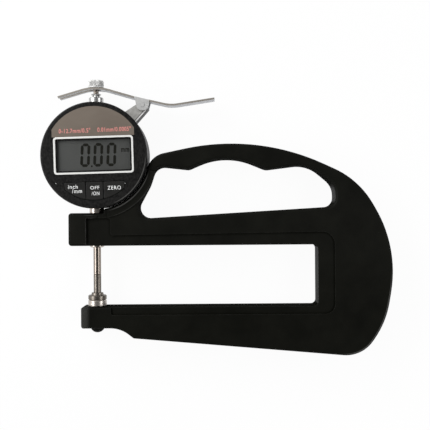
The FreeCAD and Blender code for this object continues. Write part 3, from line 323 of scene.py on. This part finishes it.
def bezelBlack():  # coarse moulded grain, with a painted highlight line along its lower right edge
    material, shader = newMaterial("bezelBlack", (0.0105, 0.0105, 0.01), 0.0, 0.45)
    shader.inputs["Specular IOR Level"].default_value = bezel["shine"]
    grain = noise(material, **bezel["grain"])
    cloud = noise(material, **bezel["cloud"])
    tone = twoTone(material, spread(material, grain, 0, 1, *bezel["toneRange"]), *bezel["tones"])
    # painted highlight line along the lower right edge
    radius, width, strength = bezel["line"]
    centre = bezel["lineSlant"][1] * face["y"]
    start, end = bezel["lineRange"]
    slope = along(material, bezel["lineSlant"], start + centre, end + centre)
    line = times(material, ring(material, radius, width), slope)
    tone = overlay(material, times(material, line, strength, True), tone, paint["edgeTone"])
    gloss = plus(material, spread(material, cloud, *bezel["gloss"]),
                 spread(material, grain, *bezel["grainGloss"]))
    return finish(material, shader, tone, gloss, bump(material, grain, bezel["grainDepth"]))


sheetMetal = {  # soft clouds and drawn lines, shared by the lever and the plated parts inside
    "clouds": {"size": 2.4 * mm, "detail": 4},
    "grain": {"size": 0.5 * mm, "detail": 3, "rough": 0.6, "stretch": (0.08, 1, 1)},
    "depth": 0.01 * mm,
}
leverFinish = {
    "faceTones": ((0.4, 0.41, 0.43), (0.56, 0.57, 0.6)),
    "edgeTone": (0.33, 0.305, 0.27),
    "faceRange": (0.7, 0.9),  # how far a surface faces the front where the sheared edge ends
    "earTone": (0.62, 0.62, 0.61),
    "earRise": (21.0 * mm, 21.3 * mm),
    "earFall": (29.4 * mm, 29.1 * mm),
    "gloss": (0.34, 0.48),
    "metallic": 0.6,
}


def leverSheet():  # plated sheet with brown-grey sheared edges and a rubbed ear
    material, shader = newMaterial("leverSheet", (0.55, 0.55, 0.56), leverFinish["metallic"], 0.4)
    clouds = noise(material, **sheetMetal["clouds"])
    drawn = noise(material, **sheetMetal["grain"])
    tone = twoTone(material, spread(material, clouds, 0, 1), *leverFinish["faceTones"])
    front = maths(material, "ABSOLUTE", facing(material)["Z"])
    sheared = spread(material, front, 0, 1, *leverFinish["faceRange"])
    tone = overlay(material, sheared, tone, leverFinish["edgeTone"])
    ear = stripe(material, toRight, leverFinish["earRise"], leverFinish["earFall"])
    tone = overlay(material, times(material, ear, sheared), tone, leverFinish["earTone"])
    gloss = spread(material, drawn, *leverFinish["gloss"])
    return finish(material, shader, tone, gloss, bump(material, drawn, sheetMetal["depth"]))


sheet = {
    "tones": ((0.32, 0.315, 0.297), (0.45, 0.445, 0.425)),
    "grain": {"size": 0.22 * mm, "detail": 3, "rough": 0.7, "stretch": (1, 0.09, 1), "turn": 42},
    "grainDepth": 0.025 * mm,
    "blotch": {"size": 1.8 * mm, "detail": 4},
    "gloss": (0.5, 0.68),
    "metallic": 0.3,
    "edgeNormal": (0.737, -0.675, 0),
    "edgeFade": 0.1 * mm,
    # painted highlight and painted shade: lines along the bracket's right edge, start along the edge's
    # normal, width and tone
    "edgeLightAndShade": ((-50.2 * mm, 0.4 * mm, (0.12, 0.115, 0.11)), (-49.7 * mm, 0.6 * mm, (0.8, 0.8, 0.79)),
                  (-49.0 * mm, 0.9 * mm, (0.06, 0.06, 0.06))),
}


def groundSheet():  # bracket: sheet steel with a coarse ground grain, and a painted highlight and painted shade along its right edge
    material, shader = newMaterial("groundSheet", (0.5, 0.49, 0.47), sheet["metallic"], 0.58)
    grain = noise(material, **sheet["grain"])
    blotch = noise(material, **sheet["blotch"])
    tone = twoTone(material, spread(material, blotch, 0, 1), *sheet["tones"])
    fade = sheet["edgeFade"]
    # painted highlight and painted shade along the right edge
    for start, width, colour in sheet["edgeLightAndShade"]:
        end = start + width
        line = stripe(material, sheet["edgeNormal"], (start - fade, start + fade), (end + fade, end - fade))
        tone = overlay(material, line, tone, colour)
    gloss = spread(material, grain, *sheet["gloss"])
    return finish(material, shader, tone, gloss, bump(material, grain, sheet["grainDepth"]))


pane = {
    "tone": (0.02, 0.022, 0.022),
    "alpha": 0.05,
    "shine": 0.3,
    "haze": {"size": 3 * mm, "detail": 3},
    "gloss": (0.04, 0.1),
}


def clearPane():  # hard-coated acrylic over the display
    material, shader = newMaterial("clearPane", pane["tone"], 0.0, 0.06)
    shader.inputs["Alpha"].default_value = pane["alpha"]
    shader.inputs["Specular IOR Level"].default_value = pane["shine"]
    haze = noise(material, **pane["haze"])
    return finish(material, shader, None, spread(material, haze, *pane["gloss"]))


board = {
    "tones": ((0.012, 0.085, 0.035), (0.05, 0.2, 0.07)),
    "runWidth": 6 * mm,
    "runGap": 0.06,
    "runBlur": 0.2,
    "runDepth": 0.03 * mm,
    "cloud": {"size": 1.2 * mm, "detail": 3},
    "gloss": (0.28, 0.42),
}


def boardGreen():  # solder mask with copper runs under it
    material, shader = newMaterial("boardGreen", (0.02, 0.11, 0.045), 0.0, 0.35)
    runs = addNode(material, "TexBrick", {"Vector": place(material), "Scale": 1 / board["runWidth"],
                                          "Mortar Size": board["runGap"],
                                          "Mortar Smooth": board["runBlur"]}).outputs["Fac"]
    tone = twoTone(material, runs, *board["tones"])
    gloss = spread(material, noise(material, **board["cloud"]), *board["gloss"])
    return finish(material, shader, tone, gloss, bump(material, runs, board["runDepth"]))


def patterned(name, look):  # two tones in clouds, and a finer grain in gloss and relief
    material, shader = newMaterial(name, look["tones"][1], look["metallic"], look["gloss"][0])
    shader.inputs["Specular IOR Level"].default_value = look.get("shine", 0.5)
    grain = noise(material, **look["grain"])
    clouds = noise(material, **look["clouds"]) if "clouds" in look else grain
    tone = twoTone(material, spread(material, clouds, 0, 1), *look["tones"])
    gloss = spread(material, grain, *look["gloss"])
    return finish(material, shader, tone, gloss, bump(material, grain, look["depth"]))


def moulded(tone, grain, depth):  # fine-textured black plastic
    return {
        "tones": ((tone * 0.8, tone * 0.8, tone * 0.74), (tone * 1.25, tone * 1.22, tone * 1.15)),
        "metallic": 0.0,
        "shine": 0.17,
        "clouds": {"size": 9 * mm, "detail": 3},
        "grain": {"size": grain, "detail": 2, "rough": 0.7},
        "gloss": (0.38, 0.56),
        "depth": depth,
    }


def turned(colour, gloss, lines=0.09 * mm, metallic=1.0):  # from the lathe: fine rings round the Y axis
    return {
        "tones": (shaded(colour, 0.86), shaded(colour, 1.1)),
        "metallic": metallic,
        "clouds": {"size": 1.6 * mm, "detail": 3, "stretch": (1, 0.35, 1)},
        "grain": {"size": lines, "detail": 3, "rough": 0.6, "stretch": (0.02, 1, 0.02)},
        "gloss": gloss,
        "depth": 0.006 * mm,
    }


def ink(colour, worn, shine=0.5):  # printed or painted in a thick opaque colour
    return {
        "tones": (shaded(colour, worn), colour),
        "metallic": 0.0,
        "shine": shine,
        "grain": {"size": 0.4 * mm, "detail": 3},
        "gloss": (0.32, 0.5),
        "depth": 0.006 * mm,
    }


looks = {
    "mouldedBlack": moulded(0.011, 0.25 * mm, 0.035 * mm),
    "keyBlack": moulded(0.012, 0.3 * mm, 0.012 * mm),
    "turnedSteel": turned((0.28, 0.243, 0.21), (0.16, 0.3)),
    "contactSteel": turned((0.17, 0.152, 0.132), (0.26, 0.42), 0.14 * mm),
    "anvilSteel": turned((0.5, 0.46, 0.42), (0.26, 0.42), 0.14 * mm),
    "stemSteel": turned((0.5, 0.45, 0.41), (0.1, 0.22)),
    "platedCap": turned((0.55, 0.55, 0.54), (0.42, 0.56), 0.2 * mm, 0.35),
    "platedCollar": turned((0.62, 0.62, 0.61), (0.28, 0.42), 0.2 * mm),
    "whiteBorder": ink((0.68, 0.68, 0.66), 0.92),
    "lcdDark": ink((0.012, 0.0118, 0.009), 0.85, 0.05),
    "redInk": ink((0.7, 0.25, 0.225), 0.88),
    "whiteInk": ink((0.86, 0.87, 0.86), 0.92),
    "platedSheet": {  # nickel plating, slightly clouded
        "tones": ((0.595, 0.595, 0.6035), (0.756, 0.756, 0.7668)),
        "metallic": 1.0,
        "gloss": (0.16, 0.3),
        **sheetMetal,
    },
    "lacquer": {  # brown-grey metallic lacquer of the face plate
        "tones": ((0.15, 0.123, 0.1), (0.178, 0.149, 0.122)),
        "metallic": 0.3,
        "clouds": {"size": 12 * mm, "detail": 2, "stretch": (0.5, 1, 1)},
        "grain": {"size": 0.16 * mm, "detail": 2, "rough": 0.8},
        "gloss": (0.3, 0.48),
        "depth": 0.008 * mm,
    },
    "lcdGrey": {  # reflective display with a faint pixel grain
        "tones": ((0.098, 0.101, 0.098), (0.118, 0.121, 0.116)),
        "metallic": 0.85,
        "clouds": {"size": 16 * mm, "detail": 2, "stretch": (1, 0.4, 1)},
        "grain": {"size": 0.12 * mm, "detail": 2, "rough": 0.7},
        "gloss": (0.4, 0.52),
        "depth": 0.004 * mm,
    },
    "softRubber": {
        "tones": ((0.025, 0.025, 0.025), (0.09, 0.09, 0.085)),
        "metallic": 0.0,
        "grain": {"size": 0.3 * mm, "detail": 2, "stretch": (1, 0.05, 0.05)},
        "gloss": (0.65, 0.85),
        "depth": 0.02 * mm,
    },
    "blackenedSteel": {
        "tones": ((0.045, 0.045, 0.048), (0.11, 0.105, 0.1)),
        "metallic": 1.0,
        "grain": {"size": 0.9 * mm, "detail": 4},
        "gloss": (0.3, 0.48),
        "depth": 0.012 * mm,
    },
}
materials = {
    "castPaint": castPaint(),
    "bezelBlack": bezelBlack(),
    "leverSheet": leverSheet(),
    "groundSheet": groundSheet(),
    "clearPane": clearPane(),
    "boardGreen": boardGreen(),
}
for name, look in looks.items():
    materials[name] = patterned(name, look)
print("materials made:", len(materials))

nodeMaterials = {
    "frame": "castPaint",
    "anvil": "anvilSteel",
    "contact_point": "contactSteel",
    "spindle": "turnedSteel",
    "stem": "stemSteel",
    "upper_bushing": "platedCollar",
    "lifting_cap": "platedCap",
    "case": "mouldedBlack",
    "back_cover": "mouldedBlack",
    "back_cover_screws": "blackenedSteel",
    "battery_cover": "mouldedBlack",
    "battery": "platedSheet",
    "battery_contact": "platedSheet",
    "bezel": "bezelBlack",
    "face_plate": "lacquer",
    "lcd_frame": "whiteBorder",
    "lcd_window": "clearPane",
    "lcd_panel": "lcdGrey",
    "lcd_connector": "softRubber",
    "circuit_board": "boardGreen",
    "dome_switches": "platedSheet",
    "scale_strip": "boardGreen",
    "scale_carrier": "mouldedBlack",
    "guide_rod": "turnedSteel",
    "return_spring": "turnedSteel",
    "lever_bracket": "groundSheet",
    "bracket_screws": "blackenedSteel",
    "lever_pin": "leverSheet",
    "lift_lever": "leverSheet",
    "clamp_screw": "blackenedSteel",
    "anvil_screw": "blackenedSteel",
    "button_unit": "keyBlack",
    "button_power": "keyBlack",
    "button_zero": "keyBlack",
}
for node, key in nodeMaterials.items():
    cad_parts[node].data.materials.clear()
    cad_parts[node].data.materials.append(materials[key])
print("finishes given to the solids")


# helpers for the new pieces

def begin():
    if bpy.context.object and bpy.context.object.mode != "OBJECT":
        bpy.ops.object.mode_set(mode="OBJECT")
    bpy.ops.object.select_all(action="DESELECT")


def pick(*objects):
    begin()
    for item in objects:
        item.select_set(True)
    bpy.context.view_layer.objects.active = objects[0]


def applyPlace(*objects):
    pick(*objects)
    bpy.ops.object.transform_apply(location=True, rotation=True, scale=True)


def repeated(piece, count):  # the piece and its copies, each with its own mesh
    pieces = [piece]
    while len(pieces) < count:
        copy = piece.copy()
        copy.data = piece.data.copy()
        bpy.context.collection.objects.link(copy)
        pieces.append(copy)
    return pieces


def joinUp(*pieces):  # one mesh of several, with their places in it
    applyPlace(*pieces)
    if len(pieces) > 1:
        bpy.ops.object.join()
    return pieces[0]


def closeUp():  # faces outwards, and back from edit mode
    bpy.ops.mesh.select_all(action="SELECT")
    bpy.ops.mesh.normals_make_consistent(inside=False)
    bpy.ops.object.mode_set(mode="OBJECT")


def extrude(x, y, z):
    bpy.ops.mesh.extrude_region_move(TRANSFORM_OT_translate={"value": (x, y, z)})


def chooseVertices(piece, wanted):  # selects, in edit mode, the vertices that a test accepts
    mesh = bmesh.from_edit_mesh(piece.data)
    for vertex in mesh.verts:
        vertex.select_set(wanted(vertex.co))
    mesh.select_flush_mode()
    bmesh.update_edit_mesh(piece.data)


def chooseFaces(piece, wanted):
    bpy.ops.mesh.select_all(action="DESELECT")
    mesh = bmesh.from_edit_mesh(piece.data)
    for side in mesh.faces:
        side.select_set(bool(wanted(side)))
    bmesh.update_edit_mesh(piece.data)


def makeDisc(sides, radius, thick, taper=1.0):  # a flat disc in millimetres, its top smaller by the taper
    begin()
    bpy.ops.mesh.primitive_circle_add(vertices=sides, radius=radius, fill_type="NGON", location=(0, 0, 0))
    bpy.ops.object.mode_set(mode="EDIT")
    extrude(0, 0, thick)
    bpy.ops.transform.resize(value=(taper, taper, 1))
    closeUp()
    return bpy.context.object


def turnUp(profile, sides):  # a turned piece, grown along Z from (radius, height) pairs in millimetres
    begin()
    radius, height = profile[0]
    bpy.ops.mesh.primitive_circle_add(vertices=sides, radius=radius * mm, fill_type="NGON",
                                      location=(0, 0, height * mm))
    piece = bpy.context.object
    bpy.ops.object.mode_set(mode="EDIT")
    for nextRadius, nextHeight in profile[1:]:
        extrude(0, 0, (nextHeight - height) * mm)
        bpy.ops.transform.resize(value=(nextRadius / radius, nextRadius / radius, 1))
        radius, height = nextRadius, nextHeight
    closeUp()
    applyPlace(piece)
    return piece


def ontoFace(piece, height):  # from millimetres about the face's centre to its place
    piece.scale = [s * mm for s in piece.scale]
    piece.location = [v * mm for v in piece.location]
    applyPlace(piece)
    piece.rotation_euler.z = face["turn"]
    piece.location = (face["x"], face["y"], height)


def settle(piece, name, key, body, node=None):  # last steps of every new piece
    applyPlace(piece)
    piece.name = name
    piece.data.materials.clear()
    piece.data.materials.append(materials[key])
    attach(piece, body)
    if node:
        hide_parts(node)


# display digits: three zeros of six bars, and the point, in millimetres about the face's centre

lcd = {
    "lefts": (-7.6, -0.65, 6.4),
    "width": 5.1,
    "bottom": -6.2,
    "top": 6.4,
    "stroke": 1.5,
    "gap": 0.12,  # left between the ends of two bars
    "slant": 0.065,
    "pointPlace": (-1.3, -5.9),
    "pointRadius": 0.5,
    "thick": 0.04,
    "near": 0.01,  # vertices closer than this to a bar's end belong to it
    "seam": 0.001,
}


def digitBar(x1, y1, x2, y2):  # flat bar with pointed ends
    begin()
    stroke = lcd["stroke"]
    straight = math.hypot(x2 - x1, y2 - y1) - stroke - 2 * lcd["gap"]
    bpy.ops.mesh.primitive_plane_add(size=1, location=(0, 0, 0))
    bar = bpy.context.object
    bpy.ops.object.mode_set(mode="EDIT")
    bpy.ops.transform.resize(value=(straight, stroke, 1))
    for side in (-1, 1):
        chooseVertices(bar, lambda p: p.x * side > straight / 2 - lcd["near"])
        extrude(side * stroke / 2, 0, 0)
        bpy.ops.transform.resize(value=(1, 0, 1))
    bpy.ops.mesh.select_all(action="SELECT")
    bpy.ops.mesh.remove_doubles(threshold=lcd["seam"])
    extrude(0, 0, lcd["thick"])
    closeUp()
    bar.rotation_euler.z = math.atan2(y2 - y1, x2 - x1)
    bar.location = ((x1 + x2) / 2, (y1 + y2) / 2, 0)
    return bar


def makeZero():  # its six bars, from its lower left corner
    inset = lcd["stroke"] / 2
    middle = (lcd["bottom"] + lcd["top"]) / 2
    corners = {}
    for side, x in (("left", inset), ("right", lcd["width"] - inset)):
        for level, y in (("low", lcd["bottom"] + inset), ("mid", middle), ("high", lcd["top"] - inset)):
            corners[side, level] = (x + lcd["slant"] * (y - lcd["bottom"]), y)
    bars = []
    for level in ("low", "high"):
        bars.append(digitBar(*corners["left", level], *corners["right", level]))
    for side in ("left", "right"):
        bars.append(digitBar(*corners[side, "low"], *corners[side, "mid"]))
        bars.append(digitBar(*corners[side, "mid"], *corners[side, "high"]))
    return joinUp(*bars)


def makeDigits():
    zeros = repeated(makeZero(), len(lcd["lefts"]))
    for zero, left in zip(zeros, lcd["lefts"]):
        zero.location.x = left
    point = makeDisc(24, lcd["pointRadius"], lcd["thick"])
    point.location = (*lcd["pointPlace"], 0)
    digits = joinUp(point, *zeros)
    ontoFace(digits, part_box("lcd_panel")[1].z)
    settle(digits, "lcd_digits", "lcdDark", "gauge")


makeDigits()
print("display digits made")


# printed words; each line is (words, left, bottom, right, top) in millimetres about the face's centre

letters = {  # in the font's own size, before a line is scaled to its place
    "thick": 0.004,
    "curveSteps": 6,
    "seam": 0.0001,  # the letters' faces and walls are joined over this
}
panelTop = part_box("lcd_panel")[1].z
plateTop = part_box("face_plate")[1].z
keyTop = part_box("button_zero")[1].z
words = {
    "unit_mark": {
        "lines": [("mm", 14.6, 1.2, 18.9, 3.3)],
        "height": panelTop, "ink": "lcdDark", "body": "gauge", "slot": "display",
        "bold": 0.03, "spacing": 1.12,
    },
    "range_text": {
        "lines": [("0-12.7mm/0.5\"", -18.1, 12.0, -1.3, 14.4), ("0.01mm/0.0005\"", 2.5, 12.2, 20.3, 14.6)],
        "height": plateTop, "ink": "redInk", "body": "gauge", "slot": "face_metal",
        "bold": 0.006, "spacing": 1.12,
    },
    "unit_label": {
        "lines": [("inch", -14.0, -17.7, -8.9, -15.6), ("/mm", -12.0, -20.1, -6.7, -17.9)],
        "height": keyTop, "ink": "whiteInk", "body": "unit_key", "slot": "white_line",
        "bold": 0.0, "spacing": 1.15,
    },
    "power_label": {
        "lines": [("OFF", -2.2, -18.4, 2.6, -16.6), ("/ON", -1.6, -21.5, 2.5, -19.6)],
        "height": keyTop, "ink": "whiteInk", "body": "power_key", "slot": "white_line",
        "bold": 0.0, "spacing": 1.15,
    },
    "zero_label": {
        "lines": [("ZERO", 7.0, -18.8, 14.1, -16.8)],
        "height": keyTop, "ink": "whiteInk", "body": "zero_key", "slot": "white_line",
        "bold": 0.0, "spacing": 1.15,
    },
}


def writeLine(text, bold, spacing):  # one line of words as a closed mesh
    begin()
    bpy.ops.object.text_add(location=(0, 0, 0))
    line = bpy.context.object
    line.data.body = text
    line.data.extrude = letters["thick"]
    line.data.resolution_u = letters["curveSteps"]
    line.data.space_character = spacing
    line.data.offset = bold
    bpy.ops.object.convert(target="MESH")
    bpy.ops.object.mode_set(mode="EDIT")
    bpy.ops.mesh.select_all(action="SELECT")
    bpy.ops.mesh.remove_doubles(threshold=letters["seam"])
    closeUp()
    return line


def fitInto(line, left, bottom, right, top):
    low = [min(v.co[i] for v in line.data.vertices) for i in range(2)]
    high = [max(v.co[i] for v in line.data.vertices) for i in range(2)]
    across = (right - left) / (high[0] - low[0])
    tall = (top - bottom) / (high[1] - low[1])
    line.scale = (across, tall, tall)
    line.location = (left - low[0] * across, bottom - low[1] * tall, 0)


def printWords(name, look):
    lines = []
    for text, *room in look["lines"]:
        line = writeLine(text, look["bold"], look["spacing"])
        fitInto(line, *room)
        lines.append(line)
    piece = joinUp(*lines)
    ontoFace(piece, look["height"])
    settle(piece, name, look["ink"], look["body"])


for name, look in words.items():
    printWords(name, look)
print("words printed")


# two bright pips beside the keys, in millimetres about the face's centre

pips = {
    "places": ((-20.5, -14.7), (16.4, -15.6)),
    "radius": 0.17,
    "dome": 0.1,
    "topShare": 0.6,
}


def makePips():
    pip = makeDisc(20, pips["radius"], pips["dome"], pips["topShare"])
    made = repeated(pip, len(pips["places"]))
    for pip, (x, y) in zip(made, pips["places"]):
        pip.location = (x, y, 0)
    piece = joinUp(*made)
    ontoFace(piece, faceHigh.z)
    settle(piece, "face_pips", "whiteInk", "gauge")


makePips()
print("pips made")


# knurled lifting cap, in millimetres from its underside

capLow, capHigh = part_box("lifting_cap")
cap = {
    "height": (capHigh.y - capLow.y) / mm,
    "radius": 4.2,
    "footIn": 0.1,
    "flange": 0.6,  # height of the flange at the foot
    "flangeOut": 0.2,
    "edge": 0.12,
    "neckIn": 0.35,
    "neckEnds": (0.05, 0.3),  # from the flange's top
    "bandEnds": (0.6, 0.75),  # knurled band: from the flange's top, and from the cap's
    "crownIn": (0.45, 0.75),
    "ridges": 44,
    "groove": 0.93,  # how far a groove's floor lies from the axis, as a share of the radius
    "bore": 1.3,
    "boreEdge": (0.2, 0.15),  # how wide and how deep the bore's chamfer is
    "boreDepth": 0.5,
    "boreTaper": 0.9,
    "near": 0.26,  # rings this close to the band are grooved too, which takes in the bore's floor
    "smoothBelow": math.radians(28),
}


def capProfile():
    radius, top, flange, edge = cap["radius"], cap["height"], cap["flange"], cap["edge"]
    neck = radius - cap["neckIn"]
    bore = cap["bore"]
    return [
        (radius - cap["footIn"], 0),
        (radius + cap["flangeOut"], edge),
        (radius + cap["flangeOut"], flange - edge),
        (neck, flange + cap["neckEnds"][0]),
        (neck, flange + cap["neckEnds"][1]),
        (radius, flange + cap["bandEnds"][0]),
        (radius, top - cap["bandEnds"][1]),
        (radius - cap["crownIn"][0], top - edge),
        (radius - cap["crownIn"][1], top),
        (bore + cap["boreEdge"][0], top),
        (bore, top - cap["boreEdge"][1]),
        (bore * cap["boreTaper"], top - cap["boreDepth"]),
    ]


def inGroove(point):  # every second vertex of the rings at the band
    low = cap["flange"] + cap["bandEnds"][0] - cap["near"]
    high = cap["height"] - cap["bandEnds"][1] + cap["near"]
    step = math.pi / cap["ridges"]
    return low * mm < point.z < high * mm and round(math.atan2(point.y, point.x) / step) % 2 == 0


def makeCap():
    piece = turnUp(capProfile(), 2 * cap["ridges"])
    bpy.ops.object.mode_set(mode="EDIT")
    chooseVertices(piece, inGroove)
    bpy.ops.transform.resize(value=(cap["groove"], cap["groove"], 1), center_override=(0, 0, 0))
    bpy.ops.object.mode_set(mode="OBJECT")
    piece.rotation_euler.x = -math.pi / 2
    piece.location.y = capLow.y
    applyPlace(piece)
    bpy.ops.object.shade_smooth_by_angle(angle=cap["smoothBelow"])
    settle(piece, "knurled_cap", "platedCap", "plunger", "lifting_cap")


makeCap()
print("lifting cap made")


# cover screws with a cross recess, in millimetres from the outside of their heads

screwLow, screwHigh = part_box("back_cover_screws")
coverScrew = {
    "count": 4,
    "ring": 23.4,
    "firstTurn": 45,
    "crossTurn": 2.3,  # times the screw's own angle, so that each cross is left at another turn
    "head": 1.9,
    "headHeight": 0.7,
    "headEdge": 0.25,
    "headFlat": 1.3,
    "shank": 1.0,
    "length": (screwHigh.z - screwLow.z) / mm,
    "sides": 40,
    "crossLong": 2.2,
    "crossWide": 0.5,
    "crossDeep": 0.5,
    "armEnd": 0.8,  # each arm of the cross gets shallower by this
    "near": 0.01,
    "smoothBelow": math.radians(30),
}


def makeCross():  # the shape that is cut out of a head: a small box with four arms
    wide = coverScrew["crossWide"]
    begin()
    bpy.ops.mesh.primitive_cube_add(size=mm, location=(0, 0, 0))
    cross = bpy.context.object
    bpy.ops.object.mode_set(mode="EDIT")
    bpy.ops.transform.resize(value=(wide, wide, 2 * coverScrew["crossDeep"]))
    arm = (coverScrew["crossLong"] - wide) / 2 * mm

    def isSide(side, direction):  # a side of the box itself, not of an arm
        off = side.calc_center_median().to_2d().length - wide / 2 * mm
        return side.normal.dot(direction) > 0.9 and abs(off) < coverScrew["near"] * mm

    for x, y in ((1, 0), (-1, 0), (0, 1), (0, -1)):
        chooseFaces(cross, lambda side: isSide(side, Vector((x, y, 0))))
        extrude(x * arm, y * arm, 0)
        bpy.ops.transform.resize(value=(1, 1, coverScrew["armEnd"]))
    bpy.ops.object.mode_set(mode="OBJECT")
    return cross


def makeScrew():
    shank, head, under = coverScrew["shank"], coverScrew["head"], coverScrew["headHeight"]
    edge = coverScrew["headEdge"]
    profile = [(shank, coverScrew["length"]), (shank, under), (head, under), (head, edge), (head - edge, 0),
               (coverScrew["headFlat"], 0)]
    screw = turnUp(profile, coverScrew["sides"])
    cross = makeCross()
    pick(screw)
    recess = screw.modifiers.new("recess", "BOOLEAN")
    recess.operation = "DIFFERENCE"
    recess.object = cross
    bpy.ops.object.modifier_apply(modifier=recess.name)
    bpy.data.objects.remove(cross)
    bpy.ops.object.shade_smooth_by_angle(angle=coverScrew["smoothBelow"])
    return screw


def makeCoverScrews():
    screws = repeated(makeScrew(), coverScrew["count"])
    reach = coverScrew["ring"] * mm
    for index, screw in enumerate(screws):
        angle = math.radians(coverScrew["firstTurn"] + index * 360 / coverScrew["count"])
        screw.location = (reach * math.cos(angle), face["y"] + reach * math.sin(angle), screwLow.z)
        screw.rotation_euler.z = angle * coverScrew["crossTurn"]
    piece = joinUp(*screws)
    settle(piece, "cover_screws", "blackenedSteel", "gauge", "back_cover_screws")


makeCoverScrews()
print("cover screws made")


# floor, light and camera

setting = {
    "floorSize": 6.0,
    "floorPlace": (0.06, 0.04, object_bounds()[0][2] - 0.1 * mm),
    "floorTone": (0.8, 0.8, 0.8),
    "glow": 0.95,  # share of plain white in what the camera sees of the floor
    "overhead": 0.2,  # the room's light overhead and at the horizon
    "horizon": 0.95,
    "overheadEnd": math.radians(28),  # away from straight up
    "horizonStart": math.radians(58),
    "rightShare": 0.4,  # the room is darker to the right, between these two values of X
    "rightFade": (-0.2, 0.7),
    "aim": (0.05, 0.05, 0.0),
    "softboxes": {  # place, width, height and power in watts
        "left_softbox": ((-0.37, 0.1, 0.31), 0.5, 0.2, 1.6),
        "upper_softbox": ((-0.26, 0.42, 0.26), 0.3, 0.1, 1.5),
        "right_softbox": ((0.45, 0.03, 0.3), 0.5, 0.16, 1.1),
    },
    "cameraPlace": (0.0646, 0.0458, 0.425),
    "cameraTurn": math.radians(-0.4),
    "lens": 65,
    "sensor": 36,
    "nearest": 0.01,
}


def makeFloor():
    begin()
    bpy.ops.mesh.primitive_plane_add(size=setting["floorSize"], location=setting["floorPlace"])
    floor = bpy.context.object
    floor.name = "floor"
    material, shader = newMaterial("paleFloor", setting["floorTone"], 0.0, 0.8)
    glow = addNode(material, "Emission", {"Color": (1, 1, 1, 1), "Strength": 1.0})
    rays = addNode(material, "LightPath").outputs
    seen = plus(material, rays["Is Camera Ray"], rays["Is Glossy Ray"])
    seen = plus(material, seen, rays["Is Transmission Ray"])
    share = times(material, seen, setting["glow"], True)
    mixed = addNode(material, "MixShader", {0: share, 1: shader.outputs[0], 2: glow.outputs[0]})
    output = material.node_tree.nodes["Material Output"]
    material.node_tree.links.new(mixed.outputs[0], output.inputs["Surface"])
    floor.data.materials.append(material)


def makeWorld():  # darker overhead, white towards the horizon, and dimmer to the right
    world = bpy.data.worlds.new("studio")
    bpy.context.scene.world = world
    world.use_nodes = True
    where = addNode(world, "TexCoord").outputs["Generated"]
    parts = addNode(world, "SeparateXYZ", {0: where}).outputs
    height = addNode(world, "MapRange", {
        "Value": parts["Z"], "From Min": math.cos(setting["overheadEnd"]),
        "From Max": math.cos(setting["horizonStart"]), "To Min": setting["overhead"],
        "To Max": setting["horizon"]}, interpolation_type="SMOOTHSTEP").outputs["Result"]
    sideways = spread(world, parts["X"], 1, setting["rightShare"], *setting["rightFade"])
    background = world.node_tree.nodes["Background"]
    background.inputs["Color"].default_value = (1, 1, 1, 1)
    world.node_tree.links.new(times(world, height, sideways), background.inputs["Strength"])


def makeSoftbox(name, where, width, height, power):
    begin()
    bpy.ops.object.light_add(type="AREA", location=where)
    lamp = bpy.context.object
    lamp.name = name
    lamp.data.shape = "RECTANGLE"
    lamp.data.size = width
    lamp.data.size_y = height
    lamp.data.energy = power
    aim = Vector(setting["aim"]) - Vector(where)
    lamp.rotation_euler = aim.to_track_quat("-Z", "Y").to_euler()


def makeCamera():
    bpy.ops.object.camera_add(location=setting["cameraPlace"], rotation=(0, 0, setting["cameraTurn"]))
    camera = bpy.context.object
    camera.data.lens = setting["lens"]
    camera.data.sensor_width = setting["sensor"]
    camera.data.clip_start = setting["nearest"]
    bpy.context.scene.camera = camera
    bpy.context.scene.view_settings.view_transform = "Standard"


makeFloor()
makeWorld()
for name, softbox in setting["softboxes"].items():
    makeSoftbox(name, *softbox)
makeCamera()
print("floor, light and camera set")
